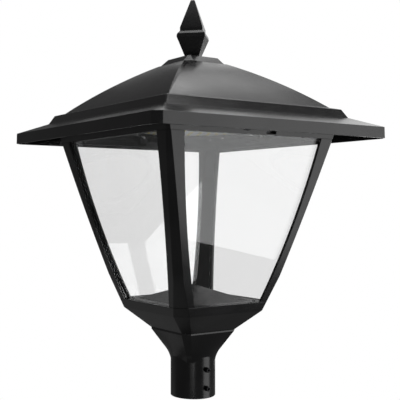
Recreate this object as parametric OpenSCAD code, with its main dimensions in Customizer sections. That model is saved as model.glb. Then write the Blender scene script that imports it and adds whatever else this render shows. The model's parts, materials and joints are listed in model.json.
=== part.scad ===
// Four-sided post-top lantern with an LED light engine in its hinged hood.
// Millimetres, +Z up. The origin is the centre of the collar's lower rim, on the pole's axis.
// The front is -Y: the set screws and the hood's latch are on it, and the hood hinges are on +Y.

/* [Pole collar] */
// Outside diameter of the collar that takes the pole's top
collar_d = 76; // [74:0.5:80]
// Diameter of the socket in the collar
socket_d = 62; // [58:0.5:64]
// Depth of the socket
socket_depth = 85; // [70:1:90]
// Diameter of the wire way above the socket
wireway_d = 40; // [24:1:46]
// Diameter of the set screws
set_screw_d = 8; // [6:0.5:10]
// How far each set screw stands out of the collar
set_screw_stand = 6.7; // [3:0.1:10]
// Height of the lower pair of set screws
set_screw_low_z = 17; // [12:0.5:22]
// Distance between the lower and the upper pair of set screws
set_screw_pitch = 31; // [20:0.5:36]
// Free travel of a set screw into the socket
set_screw_travel = 5; // [2:0.5:8]
// Width across the flats of the set screws' hexagon sockets
hex_key = 4; // [2.5:0.5:5]
// Depth of the hexagon sockets
hex_depth = 5; // [2:0.5:8]

/* [Neck] */
// Height of the neck's top edge
neck_top_z = 111; // [108:0.5:114]
// Half width of the neck at its top edge
neck_half = 55.5; // [54:0.5:58]
// Corner chamfer of the neck at its top edge
neck_chamfer = 11; // [8:0.5:14]
// Radius of the hollow flare above the collar
flare_r = 45; // [38:1:52]
// Height where the flare starts under the neck's corners
corner_foot_z = 52; // [48:0.5:58]
// Height where the flare starts under the middle of the neck's faces
face_foot_z = 60.6; // [54:0.1:66]
// Height of the upright rim above the top edge
neck_rim = 2.5; // [1:0.5:4]
// Diameter of the four bolts between the neck and the base pan
neck_bolt_d = 6; // [5:0.5:8]
// Distance of those bolts from each other, along X and along Y
neck_bolt_pitch = 68; // [60:1:72]
// Depth that those bolts go into the neck
neck_bolt_bite = 11; // [8:0.5:13]

/* [Base pan] */
// Half width of the base pan at its lower edge
pan_half = 55.3; // [53:0.1:58]
// Corner chamfer of the base pan at its lower edge
pan_chamfer = 10.4; // [8:0.2:14]
// Height from the pan's lower edge to the cage's lower edge
pan_h = 34; // [30:0.5:38]
// Wall of the base pan
pan_wall = 4; // [3:0.5:5]
// Thickness of the pan's floor
pan_floor = 4.5; // [3:0.5:6]
// Height of the ledge that carries the wiring cover, below the window sill
cover_seat_drop = 2.4; // [2:0.1:3.4]
// Diameter of the four pillars that the wiring cover rests on
pillar_d = 12; // [10:1:14]
// Distance of those pillars from each other, along X and along Y
pillar_pitch = 146; // [143:0.5:147]
// Depth that the cover's screws go into the pillars
cover_screw_bite = 9; // [6:0.5:10]
// Half width of the wiring cover's hip roof
cover_half = 68.5; // [60:0.1:68.8]
// Height of the wiring cover's peak above its rim
cover_rise = 26.5; // [16:0.5:34]
// Thickness of the wiring cover
cover_t = 2; // [1.5:0.1:3]

/* [Cage] */
// Half width of the cage at its lower edge
ring_half = 92.5; // [90:0.5:95]
// Corner chamfer of the cage at its lower edge
ring_chamfer = 18; // [16:0.5:20]
// Height of the sill below the windows
sill_h = 15; // [13:0.5:18]
// Height of the windows
window_h = 269; // [250:1:290]
// Half width of the cage at the top of the windows
top_half = 167; // [164:0.5:169]
// Corner chamfer of the cage at the top of the windows
top_chamfer = 5.2; // [4:0.1:8]
// Height above the cage's lower edge where the chamfers start to widen
chamfer_bend_h = 57; // [50:1:70]
// Corner chamfer there
bend_chamfer = 11; // [10:0.5:13]
// Radius of the slight outward bow of the cage's sides
bow_r = 4000; // [3000:100:8000]
// Wall of the corner posts and the rails
cage_wall = 4; // [3:0.5:5]
// Depth of the corner posts across their chamfer
post_depth = 9; // [8:0.5:9.5]
// How much the posts' chamfers bow outward at mid height
corner_bow = 1.5; // [0:0.1:2.5]
// Half width of the windows at the sill
window_low = 68; // [64:0.5:69]
// Width of the corner posts' faces at the top of the windows
window_top_side = 30; // [28:0.5:35]
// Radius of the windows' side edges, which bow outward
window_r = 1400; // [1300:50:3000]
// Height of the top rails
rail_h = 24.5; // [22:0.5:26]
// Depth of the top frame's corners across their chamfer
frame_depth = 15; // [13:0.5:15.5]
// Thickness of the flange on top of the rails
flange_t = 4; // [3:0.5:5]
// How far the flange's opening is inside the rails, measured from the top of the windows
flange_in = 19; // [15:1:27]
// Diameter of the dowels between the sill and the corner posts
dowel_d = 4; // [3:0.5:4.5]
// Half length of those dowels
dowel_half = 9; // [6:0.5:10]
// Diameter of the screws that hold the top frame on the corner posts
post_screw_d = 4; // [3:0.5:4.5]
// Depth that those screws go into the corner posts
post_screw_bite = 6; // [4:0.5:7]

/* [Panes] */
// Thickness of the clear panes
pane_t = 2.5; // [2:0.1:3]
// How far a pane reaches behind a corner post
pane_lap = 3.5; // [3:0.5:4]
// How far a pane reaches behind the top rail
pane_top_lap = 3.7; // [3:0.1:4]
// How far a pane reaches below the sill
pane_foot = 8; // [5:0.5:9]
// Thickness of the seal in front of a pane
seal_t = 1; // [0.8:0.1:1.4]
// Width of the seal
seal_w = 3.4; // [2.5:0.1:3.8]
// Gap between a pane, its seal and what they lie against
pane_gap = 0.15; // [0.1:0.05:0.3]
// Height of the beads that hold the panes' upper edges
bead_h = 9; // [7:0.5:10]
// Thickness of the beads
bead_t = 3; // [2:0.5:4]
// How far the beads end before the upper corners of the windows
bead_end = 12; // [7:1:27]
// Width of the clips that press on the beads
clip_w = 15; // [10:0.5:20]
// Height of the clips
clip_h = 16; // [14:0.5:17]
// Depth of a clip's nose inside the bead
clip_nose = 5; // [3:0.5:7]
// How far the front clip stands beside the middle, clear of the latch
front_clip_x = 75; // [65:1:90]
// Diameter of the clip screws
clip_screw_d = 3; // [2.5:0.5:3.5]

/* [Hood] */
// How far the eaves' lower edge stands out from the cage's widest part
eave_out = 61.8; // [57:0.2:67]
// Corner chamfer of the eaves
eave_chamfer = 11.5; // [8:0.5:14]
// Height of the eaves' lower edge above the top of the windows
eave_lift = 0; // [-3:0.5:3]
// Height of the fascia
fascia_h = 18; // [14:0.5:22]
// How much the fascia leans in over its height
fascia_lean = 0.4; // [0:0.1:1]
// Height of the skirt above the fascia
skirt_rise = 16.5; // [14:0.5:22]
// How far the band's lower edge stands out from the cage's widest part
band_out = 16.3; // [13:0.1:23]
// Height of the band
band_h = 14; // [10:0.5:18]
// How much the band leans in over its height
band_lean = 7.8; // [5:0.1:10]
// Corner chamfer of the band
band_chamfer = 2.2; // [1:0.1:4]
// How far the roof's foot stands in from the cage's widest part
roof_in = 5.5; // [0:0.5:10]
// Rise of the ledge between the band and the roof
ledge_rise = 3.6; // [2:0.2:5]
// Height of the curved roof
roof_h = 76.5; // [70:0.5:84]
// Half width of the roof at its top
roof_top_half = 46; // [44:0.5:52]
// Corner chamfer of the roof at its foot
roof_chamfer_foot = 1.5; // [1:0.1:3]
// Corner chamfer of the roof at its top
roof_chamfer_top = 8.5; // [6:0.5:11]
// Radius of the roof's sides
roof_r = 540; // [480:10:700]
// Radius of the roof's corners, seen across the corner
hip_r = 850; // [780:10:1100]
// Wall of the hood
hood_wall = 3; // [2.5:0.5:4]
// Diameter of the hood's four bosses
boss_d = 14; // [12:1:18]
// Distance of the bosses from each other, along X and along Y
boss_pitch = 250; // [240:2:256]
// Diameter of the screws in the bosses
boss_screw_d = 6; // [5:0.5:6]
// Depth that those screws go into the bosses
boss_screw_bite = 12; // [8:1:16]

/* [Cap and finial] */
// Half width of the cap plate at its foot
cap_half = 44.7; // [40:0.1:45.5]
// Corner chamfer of the cap plate at its foot
cap_chamfer = 12.5; // [8:0.5:14]
// Half width of the cap plate at its top
cap_top_half = 31.9; // [28:0.1:36]
// Corner chamfer of the cap plate at its top
cap_top_chamfer = 3.8; // [2:0.1:6]
// Height of the cap plate
cap_h = 11.7; // [8:0.1:16]
// Diameter of the finial's round foot
finial_foot_d = 24; // [20:1:30]
// Height of the finial's round foot
finial_foot_h = 3.6; // [2:0.2:6]
// Half diagonal of the finial at its lower end
finial_low = 17.3; // [14:0.1:20]
// Half diagonal of the finial where it is widest
finial_wide = 34.5; // [30:0.1:38]
// Half diagonal of the finial at its shoulder
finial_shoulder = 27.3; // [24:0.1:29]
// Half diagonal of the finial at its tip
finial_tip = 4.5; // [2:0.1:6]
// Height of the finial's lower pyramid
finial_low_h = 32; // [26:0.5:38]
// Height of the finial's shoulder step
finial_step_h = 10; // [8:0.5:14]
// Height of the finial's upright band
finial_band_h = 6; // [4:0.5:10]
// Height of the finial's upper pyramid
finial_spire_h = 49; // [40:0.5:60]
// Diameter of the finial's stud
stud_d = 8; // [6:0.5:10]
// Depth that the stud goes into the finial
stud_bite = 16; // [10:1:24]
// Width across the flats of the stud's nut
nut_w = 13; // [12:1:17]
// Height of the stud's nut
nut_h = 6.5; // [5:0.5:8]
// Thickness of the stud's washer
washer_t = 1.6; // [1:0.2:2.4]

/* [Light engine] */
// Thickness of the hood gasket
gasket_t = 0.7; // [0.5:0.1:1.5]
// Width of the hood gasket
gasket_w = 3; // [2:0.2:3.2]
// Thickness of the gear tray
tray_t = 3; // [2:0.5:4]
// Diameter of the heat sink's base
sink_d = 215; // [208:1:230]
// Thickness of the heat sink's base
sink_base_t = 6; // [4:0.5:8]
// Diameter of the finned part of the heat sink
fin_d = 184; // [150:2:188]
// Height of the heat sink's fins
fin_h = 26; // [16:1:32]
// Thickness of a fin
fin_t = 2.4; // [1.6:0.2:3.2]
// Distance between fins
fin_pitch = 12; // [9:0.5:16]
// Width of the heat sink's rim outside the LED board
board_rim = 9.5; // [8:0.25:13]
// Thickness of the LED board
board_t = 1.6; // [1:0.2:2]
// Side of an LED package
led_side = 5; // [3:0.5:6]
// Height of an LED package
led_h = 0.7; // [0.5:0.1:1]
// Radial distance between the rings of LED packages
led_ring_pitch = 17; // [14:1:20]
// Number of rings of LED packages
led_rings = 5; // [3:1:5]
// Thickness of the clear lens
lens_t = 2; // [1.5:0.5:3]
// Height of the air gap between the board and the lens
lens_air = 2; // [1.5:0.5:4]
// Lip of the lens ring under the lens
lens_lip = 3; // [2:0.5:5]
// Thickness of that lip
lens_lip_t = 1.2; // [1:0.2:2]
// Number of screws in the lens ring
lens_screws_n = 8; // [6:2:12]
// Gap between the heat sink's fins and the driver or the surge protector
gear_gap = 4; // [2.5:0.5:7]
// Length of the LED driver
driver_l = 120; // [100:2:140]
// Width of the LED driver
driver_w = 38; // [30:1:40]
// Height of the LED driver
driver_h = 28; // [20:1:30]
// Length of the surge protector
surge_l = 56; // [40:2:70]
// Width of the surge protector
surge_w = 30; // [24:1:34]
// Height of the surge protector
surge_h = 22; // [18:1:26]
// Length of the terminal block in the base pan
terminal_l = 44; // [30:2:50]
// Width of the terminal block
terminal_w = 18; // [14:1:20]
// Height of the terminal block
terminal_h = 16; // [12:1:20]

/* [Hinges and latch] */
// Distance of each hinge from the middle
hinge_x = 95; // [80:1:110]
// Distance of the hinge axis behind the cage's widest part
hinge_out = 15; // [13:0.5:17]
// Height of the hinge axis below the top of the flange
hinge_drop = 4; // [3:0.5:5]
// Diameter of the hinge knuckles
knuckle_d = 12; // [11:0.5:13]
// Diameter of the hinge pins
hinge_pin_d = 6; // [4:0.5:7]
// Width of the knuckle that is part of the frame
frame_knuckle_w = 16; // [12:1:20]
// Width of each knuckle on a hood leaf
leaf_knuckle_w = 8; // [6:1:12]
// Gap between knuckles, along the pin
knuckle_gap = 0.5; // [0.3:0.1:1]
// Thickness of a hood leaf
leaf_t = 3; // [2:0.5:3.5]
// Sideways place of the latch slot in the front rail
slot_x = 28; // [26:1:34]
// Width of the latch slot
slot_w = 20; // [18:0.5:22]
// Height of the latch slot
slot_h = 5.8; // [5:0.1:6.5]
// Height of the latch slot above the top of the window
slot_lift = 1.7; // [1.5:0.1:2]
// Travel of the latch bar
latch_travel = 12; // [8:0.5:13]
// Thickness of the latch bar
latch_t = 3; // [2.4:0.1:3.2]
// Distance of the latch's guide screw from the middle
guide_x = 22; // [18:0.5:24]
// Diameter of the guide screw's head
guide_head_d = 18; // [14:0.5:18.5]
// Diameter of the guide screw's shank
guide_d = 5; // [4:0.5:6]

/* [Fits] */
// Radial clearance of a pin or a screw in its hole
run_gap = 0.05; // [0.02:0.01:0.1]
// Gap between seated pieces that aren't face to face
seat_gap = 0.3; // [0.1:0.05:0.4]
// Gap beside a sliding piece
slide_gap = 0.4; // [0.3:0.05:0.5]

/* [Hidden] */

metal = [0.07, 0.07, 0.075];
bare_metal = [0.72, 0.73, 0.75];
steel = [0.55, 0.56, 0.58];
rubber = [0.12, 0.12, 0.12];
clear = [0.9, 0.95, 1, 0.3];
root2 = sqrt(2);
fine = 360;
round_fn = 72;
small_fn = 32;
over = 1;

// Heights
pan_z = neck_top_z + neck_rim;
ring_z = pan_z + pan_h;
sill_z = ring_z + sill_h;
head_z = sill_z + window_h;
frame_z = head_z + rail_h;
flange_z = frame_z - flange_t;
bend_z = ring_z + chamfer_bend_h;
eave_z = head_z + eave_lift;
skirt_z = eave_z + fascia_h;
band_z = skirt_z + skirt_rise;
ledge_z = band_z + band_h;
roof_z = ledge_z + ledge_rise;
roof_top_z = roof_z + roof_h;
cap_z = roof_top_z + cap_h;
finial_z = cap_z + finial_foot_h;
tray_z = frame_z + gasket_t + seat_gap;
tray_top = tray_z + tray_t;
sink_z = tray_z - sink_base_t;
board_z = sink_z - board_t;
lens_z = board_z - lens_air - lens_t;
ring_under = lens_z - lens_lip_t;
cover_seat_z = sill_z - cover_seat_drop;
floor_z = pan_z + pan_floor;
hinge_z = frame_z - hinge_drop;

// Widths that follow the cage
window_top_half = top_half - window_top_side;
flange_open = top_half - flange_in;
bead_half = window_top_half - bead_end;
eave_half = top_half + eave_out;
band_half = top_half + band_out;
roof_half = top_half - roof_in;
hinge_y = top_half + hinge_out;

// Circles that bound the bowed sides: the centre lies on the inner side of the line from a to b
function arc_centre(a, b, r) =
    let (run = b - a, half = norm(run) / 2, side = [-run[1], run[0]] / norm(run))
    (a + b) / 2 + side * sqrt(r * r - half * half);
function diagonal(half, chamfer) = (2 * half - chamfer) / root2;
function mirrored(pts) = concat(pts, [for (i = [len(pts) - 1:-1:0]) [-pts[i][0], pts[i][1]]]);

// An open outline moved to its left by t, with its corners kept sharp
function cross2(a, b) = a[0] * b[1] - a[1] * b[0];
function along(pts, i) = (pts[i + 1] - pts[i]) / norm(pts[i + 1] - pts[i]);
function leftward(v) = [-v[1], v[0]];
function meet(p, u, q, v) = p + u * cross2(q - p, v) / cross2(u, v);
function inset(pts, t) = let (last = len(pts) - 1) [for (i = [0:last])
    i == 0 ? pts[0] + leftward(along(pts, 0)) * t
    : i == last ? pts[last] + leftward(along(pts, last - 1)) * t
    : meet(pts[i] + leftward(along(pts, i - 1)) * t, along(pts, i - 1),
        pts[i] + leftward(along(pts, i)) * t, along(pts, i))];

// The cage's side seen square on
cage_low = [ring_half, ring_z];
cage_high = [top_half, head_z];
bow_centre = arc_centre(cage_low, cage_high, bow_r);
function cage_half(z) = bow_centre[0] + sqrt(bow_r * bow_r - pow(z - bow_centre[1], 2));
window_centre = arc_centre([window_low, sill_z], [window_top_half, head_z], window_r);
function window_half(z) = window_centre[0] + sqrt(window_r * window_r - pow(z - window_centre[1], 2));
function post_diagonal(z) = z < bend_z
    ? diagonal(ring_half, ring_chamfer) + lower_lean * (z - ring_z)
    : diagonal(cage_half(bend_z), bend_chamfer) + upper_lean * (z - bend_z) + bulge(z);
function bulge(z) = let (t = (z - bend_z) / (head_z - bend_z)) max(0, 4 * corner_bow * t * (1 - t));
lower_lean = (diagonal(cage_half(bend_z), bend_chamfer) - diagonal(ring_half, ring_chamfer))
    / chamfer_bend_h;
upper_lean = (diagonal(top_half, top_chamfer) - diagonal(cage_half(bend_z), bend_chamfer))
    / (head_z - bend_z);

bow_steps = 8;
corner_levels = [for (i = [0:bow_steps]) bend_z + (head_z - bend_z) * i / bow_steps];
window_levels = [for (i = [0:bow_steps]) sill_z + window_h * i / bow_steps];
function bow_points(z0, z1, inward) = let (rise = (z1 - z0) / ceil(bow_steps * (z1 - z0) / window_h))
    [for (z = [z0:rise:z1 + rise / 2]) bow_point(z, inward)];
function bow_point(z, inward) = [bow_centre[0]
    + sqrt(pow(bow_r - inward, 2) - pow(z - bow_centre[1], 2)), z];

// Depths behind the cage's outer face
seal_in = cage_wall + pane_gap;
pane_in = seal_in + seal_t + pane_gap;
bead_in = pane_in + pane_t + pane_gap;
clip_in = bead_in + bead_t + pane_gap;
pane_low_z = sill_z - pane_foot;
pane_top_z = head_z + pane_top_lap;

// One side's outline drawn in X and Z and run right through along the turned Y axis
module slab(turn, reach) {
    rotate([0, 0, turn]) rotate([90, 0, 0]) linear_extrude(2 * reach, center = true) children();
}

// A four-sided body with chamfered corners: its square outline, then its diagonal one
module four_sided(reach) {
    intersection() {
        slab(0, reach) children(0);
        slab(90, reach) children(0);
        slab(45, reach) children(1);
        slab(135, reach) children(1);
    }
}

module band_2d(z0, z1, half) {
    translate([-half, z0]) square([2 * half, z1 - z0]);
}

// The space between two mirrored circles, which bulges out on both sides
module bulged(a, b, r, inward) {
    centre = arc_centre(a, b, r);
    intersection() {
        translate(centre) circle(r = r - inward, $fn = fine);
        mirror([1, 0]) translate(centre) circle(r = r - inward, $fn = fine);
    }
}

module cage_body(z0, z1, inward, corner_inward) {
    reach = 2 * top_half;
    four_sided(reach) {
        polygon(mirrored(bow_points(z0, z1, inward)));
        intersection() {
            polygon(mirrored([for (z = concat([ring_z - over, ring_z], corner_levels, [frame_z + over]))
                [post_diagonal(z) - corner_inward, z]]));
            band_2d(z0, z1, reach);
        }
    }
}

module window_2d(grow, below, above) {
    low = below > 0 ? [sill_z - below] : [];
    high = above > 0 ? [head_z + above] : [];
    polygon(mirrored([for (z = concat(low, window_levels, high)) [window_half(z) + grow, z]]));
}

module rod(d, h, fn = round_fn) {
    cylinder(d = d, h = h, $fn = fn);
}

// A rod along the direction that leans outward from the axis over a corner
module leaning_rod(turn, reach, z, lean, d, from, to) {
    rotate([0, 0, turn]) translate([reach, 0, z]) rotate([0, lean, 0])
        translate([0, 0, from]) rod(d, to - from, small_fn);
}

module at_corners(pitch, z) {
    for (x = [-pitch / 2, pitch / 2], y = [-pitch / 2, pitch / 2])
        translate([x, y, z]) children();
}

// Pole collar and neck: sixteen upright planes turn the round collar into a chamfered square
collar_r = collar_d / 2;
waist = collar_r * cos(11.25) - 0.07;
neck_edge = [neck_half, neck_half - neck_chamfer];
flare_steps = 5;
side_flare_steps = 7;
side_clear = 0.15;

// Lean of the straight part of a flare that widens by w over the height h
function flare_lean(w, h) = atan2(h, flare_r - w) - acos(flare_r / norm([flare_r - w, h]));
function flare_points(foot, w, steps) = let (lean = flare_lean(w, neck_top_z - foot))
    concat([[waist, foot - over]], [for (i = [0:steps]) let (a = lean * i / steps)
    [waist + flare_r * (1 - cos(a)), foot + flare_r * sin(a)]],
    [[waist + w, neck_top_z], [waist + w, neck_top_z + neck_rim]]);

// The same flare seen by a plane that is turned away from the neck's edge
module flare_2d(foot, reach, turn, steps = flare_steps) {
    polygon(mirrored([for (p = flare_points(foot, reach - waist, steps)) [p[0] * cos(turn), p[1]]]));
}

module neck_body() {
    edge = norm(neck_edge);
    edge_turn = atan2(neck_edge[1], neck_edge[0]);
    intersection() {
        slab(0, 2 * edge) flare_2d(face_foot_z, neck_half, 0);
        slab(90, 2 * edge) flare_2d(face_foot_z, neck_half, 0);
        slab(45, 2 * edge) flare_2d(corner_foot_z, edge, 45 - edge_turn);
        slab(135, 2 * edge) flare_2d(corner_foot_z, edge, 45 - edge_turn);
        intersection_for(turn = [22.5:45:157.5])
            slab(turn, 2 * edge)
                flare_2d(corner_foot_z, edge + side_clear, edge_turn - 22.5, side_flare_steps);
    }
}

module set_screw_axes(d, length) {
    for (z = [set_screw_low_z, set_screw_low_z + set_screw_pitch])
        translate([0, 0, z]) rotate([90, 0, 0])
            cylinder(d = d, h = length, center = true, $fn = round_fn);
}

module neck_casting() {
    color(metal) difference() {
        union() {
            rod(collar_d, neck_top_z - neck_bolt_bite, 2 * round_fn);
            neck_body();
        }
        translate([0, 0, -over]) rod(socket_d, socket_depth + over, 2 * round_fn);
        rod(wireway_d, pan_z + over);
        set_screw_axes(set_screw_d + 2 * run_gap, collar_d + 2 * over);
        at_corners(neck_bolt_pitch, neck_top_z + neck_rim - neck_bolt_bite)
            rod(neck_bolt_d + 2 * run_gap, neck_bolt_bite + over);
    }
}

module set_screw(side, level) {
    tip = socket_d / 2 + seat_gap;
    length = collar_r + set_screw_stand - tip;
    socket_out = length - hex_depth;
    color(steel) translate([0, 0, set_screw_low_z + level * set_screw_pitch])
        rotate([side * 90, 0, 0]) translate([0, 0, tip]) difference() {
            union() {
                rod(set_screw_d, length - 1);
                translate([0, 0, length - 1])
                    cylinder(d1 = set_screw_d, d2 = set_screw_d - 1.6, h = 1, $fn = round_fn);
            }
            translate([0, 0, socket_out])
                cylinder(d = hex_key / cos(30), h = hex_depth + over, $fn = 6);
        }
}

// Base pan, with the sill of the cage cast on
pan_corner = diagonal(pan_half, pan_chamfer);
ring_corner = diagonal(ring_half, ring_chamfer);

module pan_outline(low, high, wall, z0) {
    pts = inset([[low, pan_z], [high, ring_z]], wall);
    slope = along(pts, 0);
    foot = pts[0] + slope * (z0 - pts[0][1]) / slope[1];
    head = pts[0] + slope * (ring_z - pts[0][1]) / slope[1];
    polygon(mirrored([foot, head]));
}

module dowels(d, from, to) {
    for (turn = [45:90:315])
        leaning_rod(turn, post_diagonal(sill_z) - post_depth / 2, sill_z,
            atan(lower_lean), d, from, to);
}

module pan_shape() {
    four_sided(2 * ring_half) {
        union() {
            pan_outline(pan_half, ring_half, 0, pan_z);
            polygon(mirrored(bow_points(ring_z, sill_z, 0)));
        }
        union() {
            pan_outline(pan_corner, ring_corner, 0, pan_z);
            polygon(mirrored([[post_diagonal(ring_z), ring_z], [post_diagonal(sill_z), sill_z]]));
        }
    }
}

module base_pan() {
    color(metal) difference() {
        union() {
            difference() {
                pan_shape();
                four_sided(2 * ring_half) {
                    pan_outline(pan_half, ring_half, pan_wall, floor_z);
                    pan_outline(pan_corner, ring_corner, pan_wall, floor_z);
                }
                cage_body(ring_z - over / 2, sill_z + over, cage_wall, post_depth);
            }
            pan_pillars();
            pane_shelf();
        }
        translate([0, 0, pan_z - over]) rod(wireway_d, pan_h);
        at_corners(neck_bolt_pitch, pan_z - over) rod(neck_bolt_d + 2 * seat_gap, pan_h);
        dowels(dowel_d + 2 * run_gap, -dowel_half - seat_gap, over);
        at_corners(pillar_pitch, cover_seat_z - cover_screw_bite - seat_gap)
            rod(clip_screw_d + 2 * run_gap, cover_screw_bite + seat_gap + over);
    }
}

// Pillars for the wiring cover, each on the pan's sloping wall
module pan_pillars() {
    intersection() {
        at_corners(pillar_pitch, pan_z) rod(pillar_d, cover_seat_z - pan_z);
        pan_shape();
    }
}

// A narrow shelf round the inside, under the panes' lower edges
module pane_shelf() {
    shelf_t = 3;
    top = pane_low_z - seat_gap;
    shelf_in = cage_half(top) - bead_in - 2;
    difference() {
        cage_body(top - shelf_t, top, cage_wall / 2, post_depth / 2);
        translate([0, 0, top - shelf_t / 2])
            cube([2 * shelf_in, 2 * shelf_in, shelf_t + 2 * over], center = true);
    }
}

module neck_bolts() {
    head_h = 0.65 * neck_bolt_d;
    color(steel) at_corners(neck_bolt_pitch, neck_top_z + neck_rim - neck_bolt_bite + seat_gap) {
        rod(neck_bolt_d, neck_bolt_bite - seat_gap + pan_floor);
        translate([0, 0, neck_bolt_bite - seat_gap + pan_floor])
            cylinder(d = 1.1547 * 1.6 * neck_bolt_d, h = head_h, $fn = 6);
    }
}

module terminal_block() {
    ways = 3;
    way = terminal_l / ways;
    color("ivory") translate([-terminal_l / 2, wireway_d / 2 + 1, floor_z]) difference() {
        cube([terminal_l, terminal_w, terminal_h]);
        for (i = [0:ways - 1]) translate([way * (i + 0.5), 0, 0]) {
            translate([0, terminal_w / 2, terminal_h - 6]) rod(way / 2, 6 + over, small_fn);
            translate([0, -over, terminal_h / 2 - 1]) rotate([-90, 0, 0])
                rod(way / 3, terminal_w + 2 * over, small_fn);
        }
    }
}

// Hip-roofed cover over the wiring, standing on the four pillars
module wiring_cover() {
    rim_half = cage_half(cover_seat_z) - bead_in - 0.5;
    rim_top = cover_seat_z + cover_t;
    peak = rim_top + cover_rise;
    slope_drop = cover_t * norm([cover_half, cover_rise]) / cover_half;
    inner_half = cover_half * (1 - slope_drop / cover_rise);
    corner_cut = diagonal(rim_half, 0) - (post_diagonal(cover_seat_z) - post_depth) + 0.6;
    color(metal) difference() {
        union() {
            four_sided(2 * rim_half) {
                band_2d(cover_seat_z, rim_top, rim_half);
                band_2d(cover_seat_z, rim_top, diagonal(rim_half, 0) - corner_cut);
            }
            intersection() {
                slab(0, rim_half) polygon([[-cover_half, rim_top], [cover_half, rim_top], [0, peak]]);
                slab(90, rim_half) polygon([[-cover_half, rim_top], [cover_half, rim_top], [0, peak]]);
            }
        }
        intersection() {
            slab(0, rim_half) hollow_2d(inner_half, rim_top - cover_t, peak - slope_drop);
            slab(90, rim_half) hollow_2d(inner_half, rim_top - cover_t, peak - slope_drop);
        }
        at_corners(pillar_pitch, cover_seat_z - over)
            rod(clip_screw_d + 2 * run_gap, cover_t + 2 * over, small_fn);
    }
}

module cover_screws() {
    head = 0.6 * clip_screw_d;
    color(steel) at_corners(pillar_pitch, cover_seat_z) {
        translate([0, 0, -cover_screw_bite]) rod(clip_screw_d, cover_screw_bite + cover_t, small_fn);
        translate([0, 0, cover_t]) rod(1.8 * clip_screw_d, head, small_fn);
    }
}

module hollow_2d(half, z0, z1) {
    polygon([[-half, z0 - over], [half, z0 - over], [half, z0 + cover_t], [0, z1],
        [-half, z0 + cover_t]]);
}

// Corner posts, one for each corner, with a web behind the chamfer
module corner_post(turn) {
    color(metal) rotate([0, 0, turn]) difference() {
        intersection() {
            cage_body(sill_z, head_z, 0, 0);
            translate([-2 * top_half, -2 * top_half, sill_z - over])
                cube([2 * top_half, 2 * top_half, window_h + 2 * over]);
        }
        cage_body(sill_z - over, head_z + over, cage_wall, post_depth);
        slab(0, 2 * top_half) window_2d(0, over, over);
        slab(90, 2 * top_half) window_2d(0, over, over);
        dowels(dowel_d + 2 * run_gap, -over, dowel_half + seat_gap);
        post_screw_holes_upper(post_screw_d + 2 * run_gap,
            head_z - post_screw_bite - seat_gap, head_z + over);
    }
}

module post_dowels() {
    color(steel) dowels(dowel_d, -dowel_half, dowel_half);
}

post_screw_reach = post_diagonal(head_z) - post_depth * 0.67;

module post_screw_holes_upper(d, z0, z1) {
    for (turn = [45:90:315]) rotate([0, 0, turn])
        translate([post_screw_reach, 0, z0]) rod(d, z1 - z0, small_fn);
}

module post_screws_upper() {
    head = 0.6 * post_screw_d;
    color(steel) {
        post_screw_holes_upper(post_screw_d, head_z - post_screw_bite, frame_z - head);
        post_screw_holes_upper(1.8 * post_screw_d, frame_z - head, frame_z);
    }
}

// Top frame: four rails, a flange for the hood's seal, and the cast-on hinge knuckles
module top_frame() {
    head = 0.6 * post_screw_d;
    color(metal) difference() {
        union() {
            difference() {
                cage_body(head_z, frame_z, 0, 0);
                cage_body(head_z - over, flange_z, cage_wall, frame_depth);
                translate([-flange_open, -flange_open, flange_z - over])
                    cube([2 * flange_open, 2 * flange_open, flange_t + 2 * over]);
            }
            for (side = [-1, 1]) frame_knuckle(side * hinge_x);
        }
        post_screw_holes_upper(post_screw_d + 2 * run_gap, head_z - over, frame_z + over);
        post_screw_holes_upper(1.8 * post_screw_d + 2 * run_gap, frame_z - head, frame_z + over);
        latch_slot();
        keeper_notch();
        translate([-guide_x, 0, 0]) on_rail(guide_z) translate([0, 0, -2 * cage_wall])
            rod(guide_d + 2 * run_gap, 3 * cage_wall, small_fn);
        for (side = [0:3]) clip_place(side) clip_screw_hole();
        hinge_bores(hinge_pin_d + 2 * run_gap);
    }
}

module frame_knuckle(x) {
    root_y = cage_half(hinge_z) - cage_wall;
    translate([x - frame_knuckle_w / 2, root_y, frame_z - 2 * hinge_drop])
        cube([frame_knuckle_w, hinge_y - root_y, 2 * hinge_drop]);
    translate([x - frame_knuckle_w / 2, hinge_y, hinge_z]) rotate([0, 90, 0])
        rod(knuckle_d, frame_knuckle_w);
}

module hinge_bores(d) {
    length = frame_knuckle_w + 2 * (knuckle_gap + leaf_knuckle_w);
    for (side = [-1, 1]) translate([side * hinge_x - length / 2 - over, hinge_y, hinge_z])
        rotate([0, 90, 0]) rod(d, length + 2 * over);
}

// Panes, their seals, beads and clips: drawn for the front and turned to each side
module side_layer(inward, thick, z0, z1, half) {
    intersection() {
        difference() {
            slab(90, half) intersection() {
                bulged(cage_low, cage_high, bow_r, inward);
                band_2d(z0, z1, 2 * top_half);
            }
            slab(90, half + over) bulged(cage_low, cage_high, bow_r, inward + thick);
        }
        translate([-half - over, -2 * top_half, z0 - over])
            cube([2 * (half + over), 2 * top_half, z1 - z0 + 2 * over]);
    }
}

module pane(side) {
    color(clear) rotate([0, 0, 90 * side]) intersection() {
        side_layer(pane_in, pane_t, pane_low_z, pane_top_z, top_half);
        slab(0, 2 * top_half) window_2d(pane_lap, pane_foot + over, pane_top_lap + over);
    }
}

module pane_seals() {
    color(rubber) for (side = [0:3]) rotate([0, 0, 90 * side]) difference() {
        intersection() {
            side_layer(seal_in, seal_t, sill_z - seal_w, head_z + seal_w, top_half);
            slab(0, 2 * top_half) window_2d(seal_w, seal_w + over, seal_w + over);
        }
        slab(0, 2 * top_half) window_2d(0, 0, 0);
    }
}

module pane_beads() {
    color(metal) for (side = [0:3]) rotate([0, 0, 90 * side])
        side_layer(bead_in, bead_t, head_z, head_z + bead_h, bead_half);
}

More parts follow.
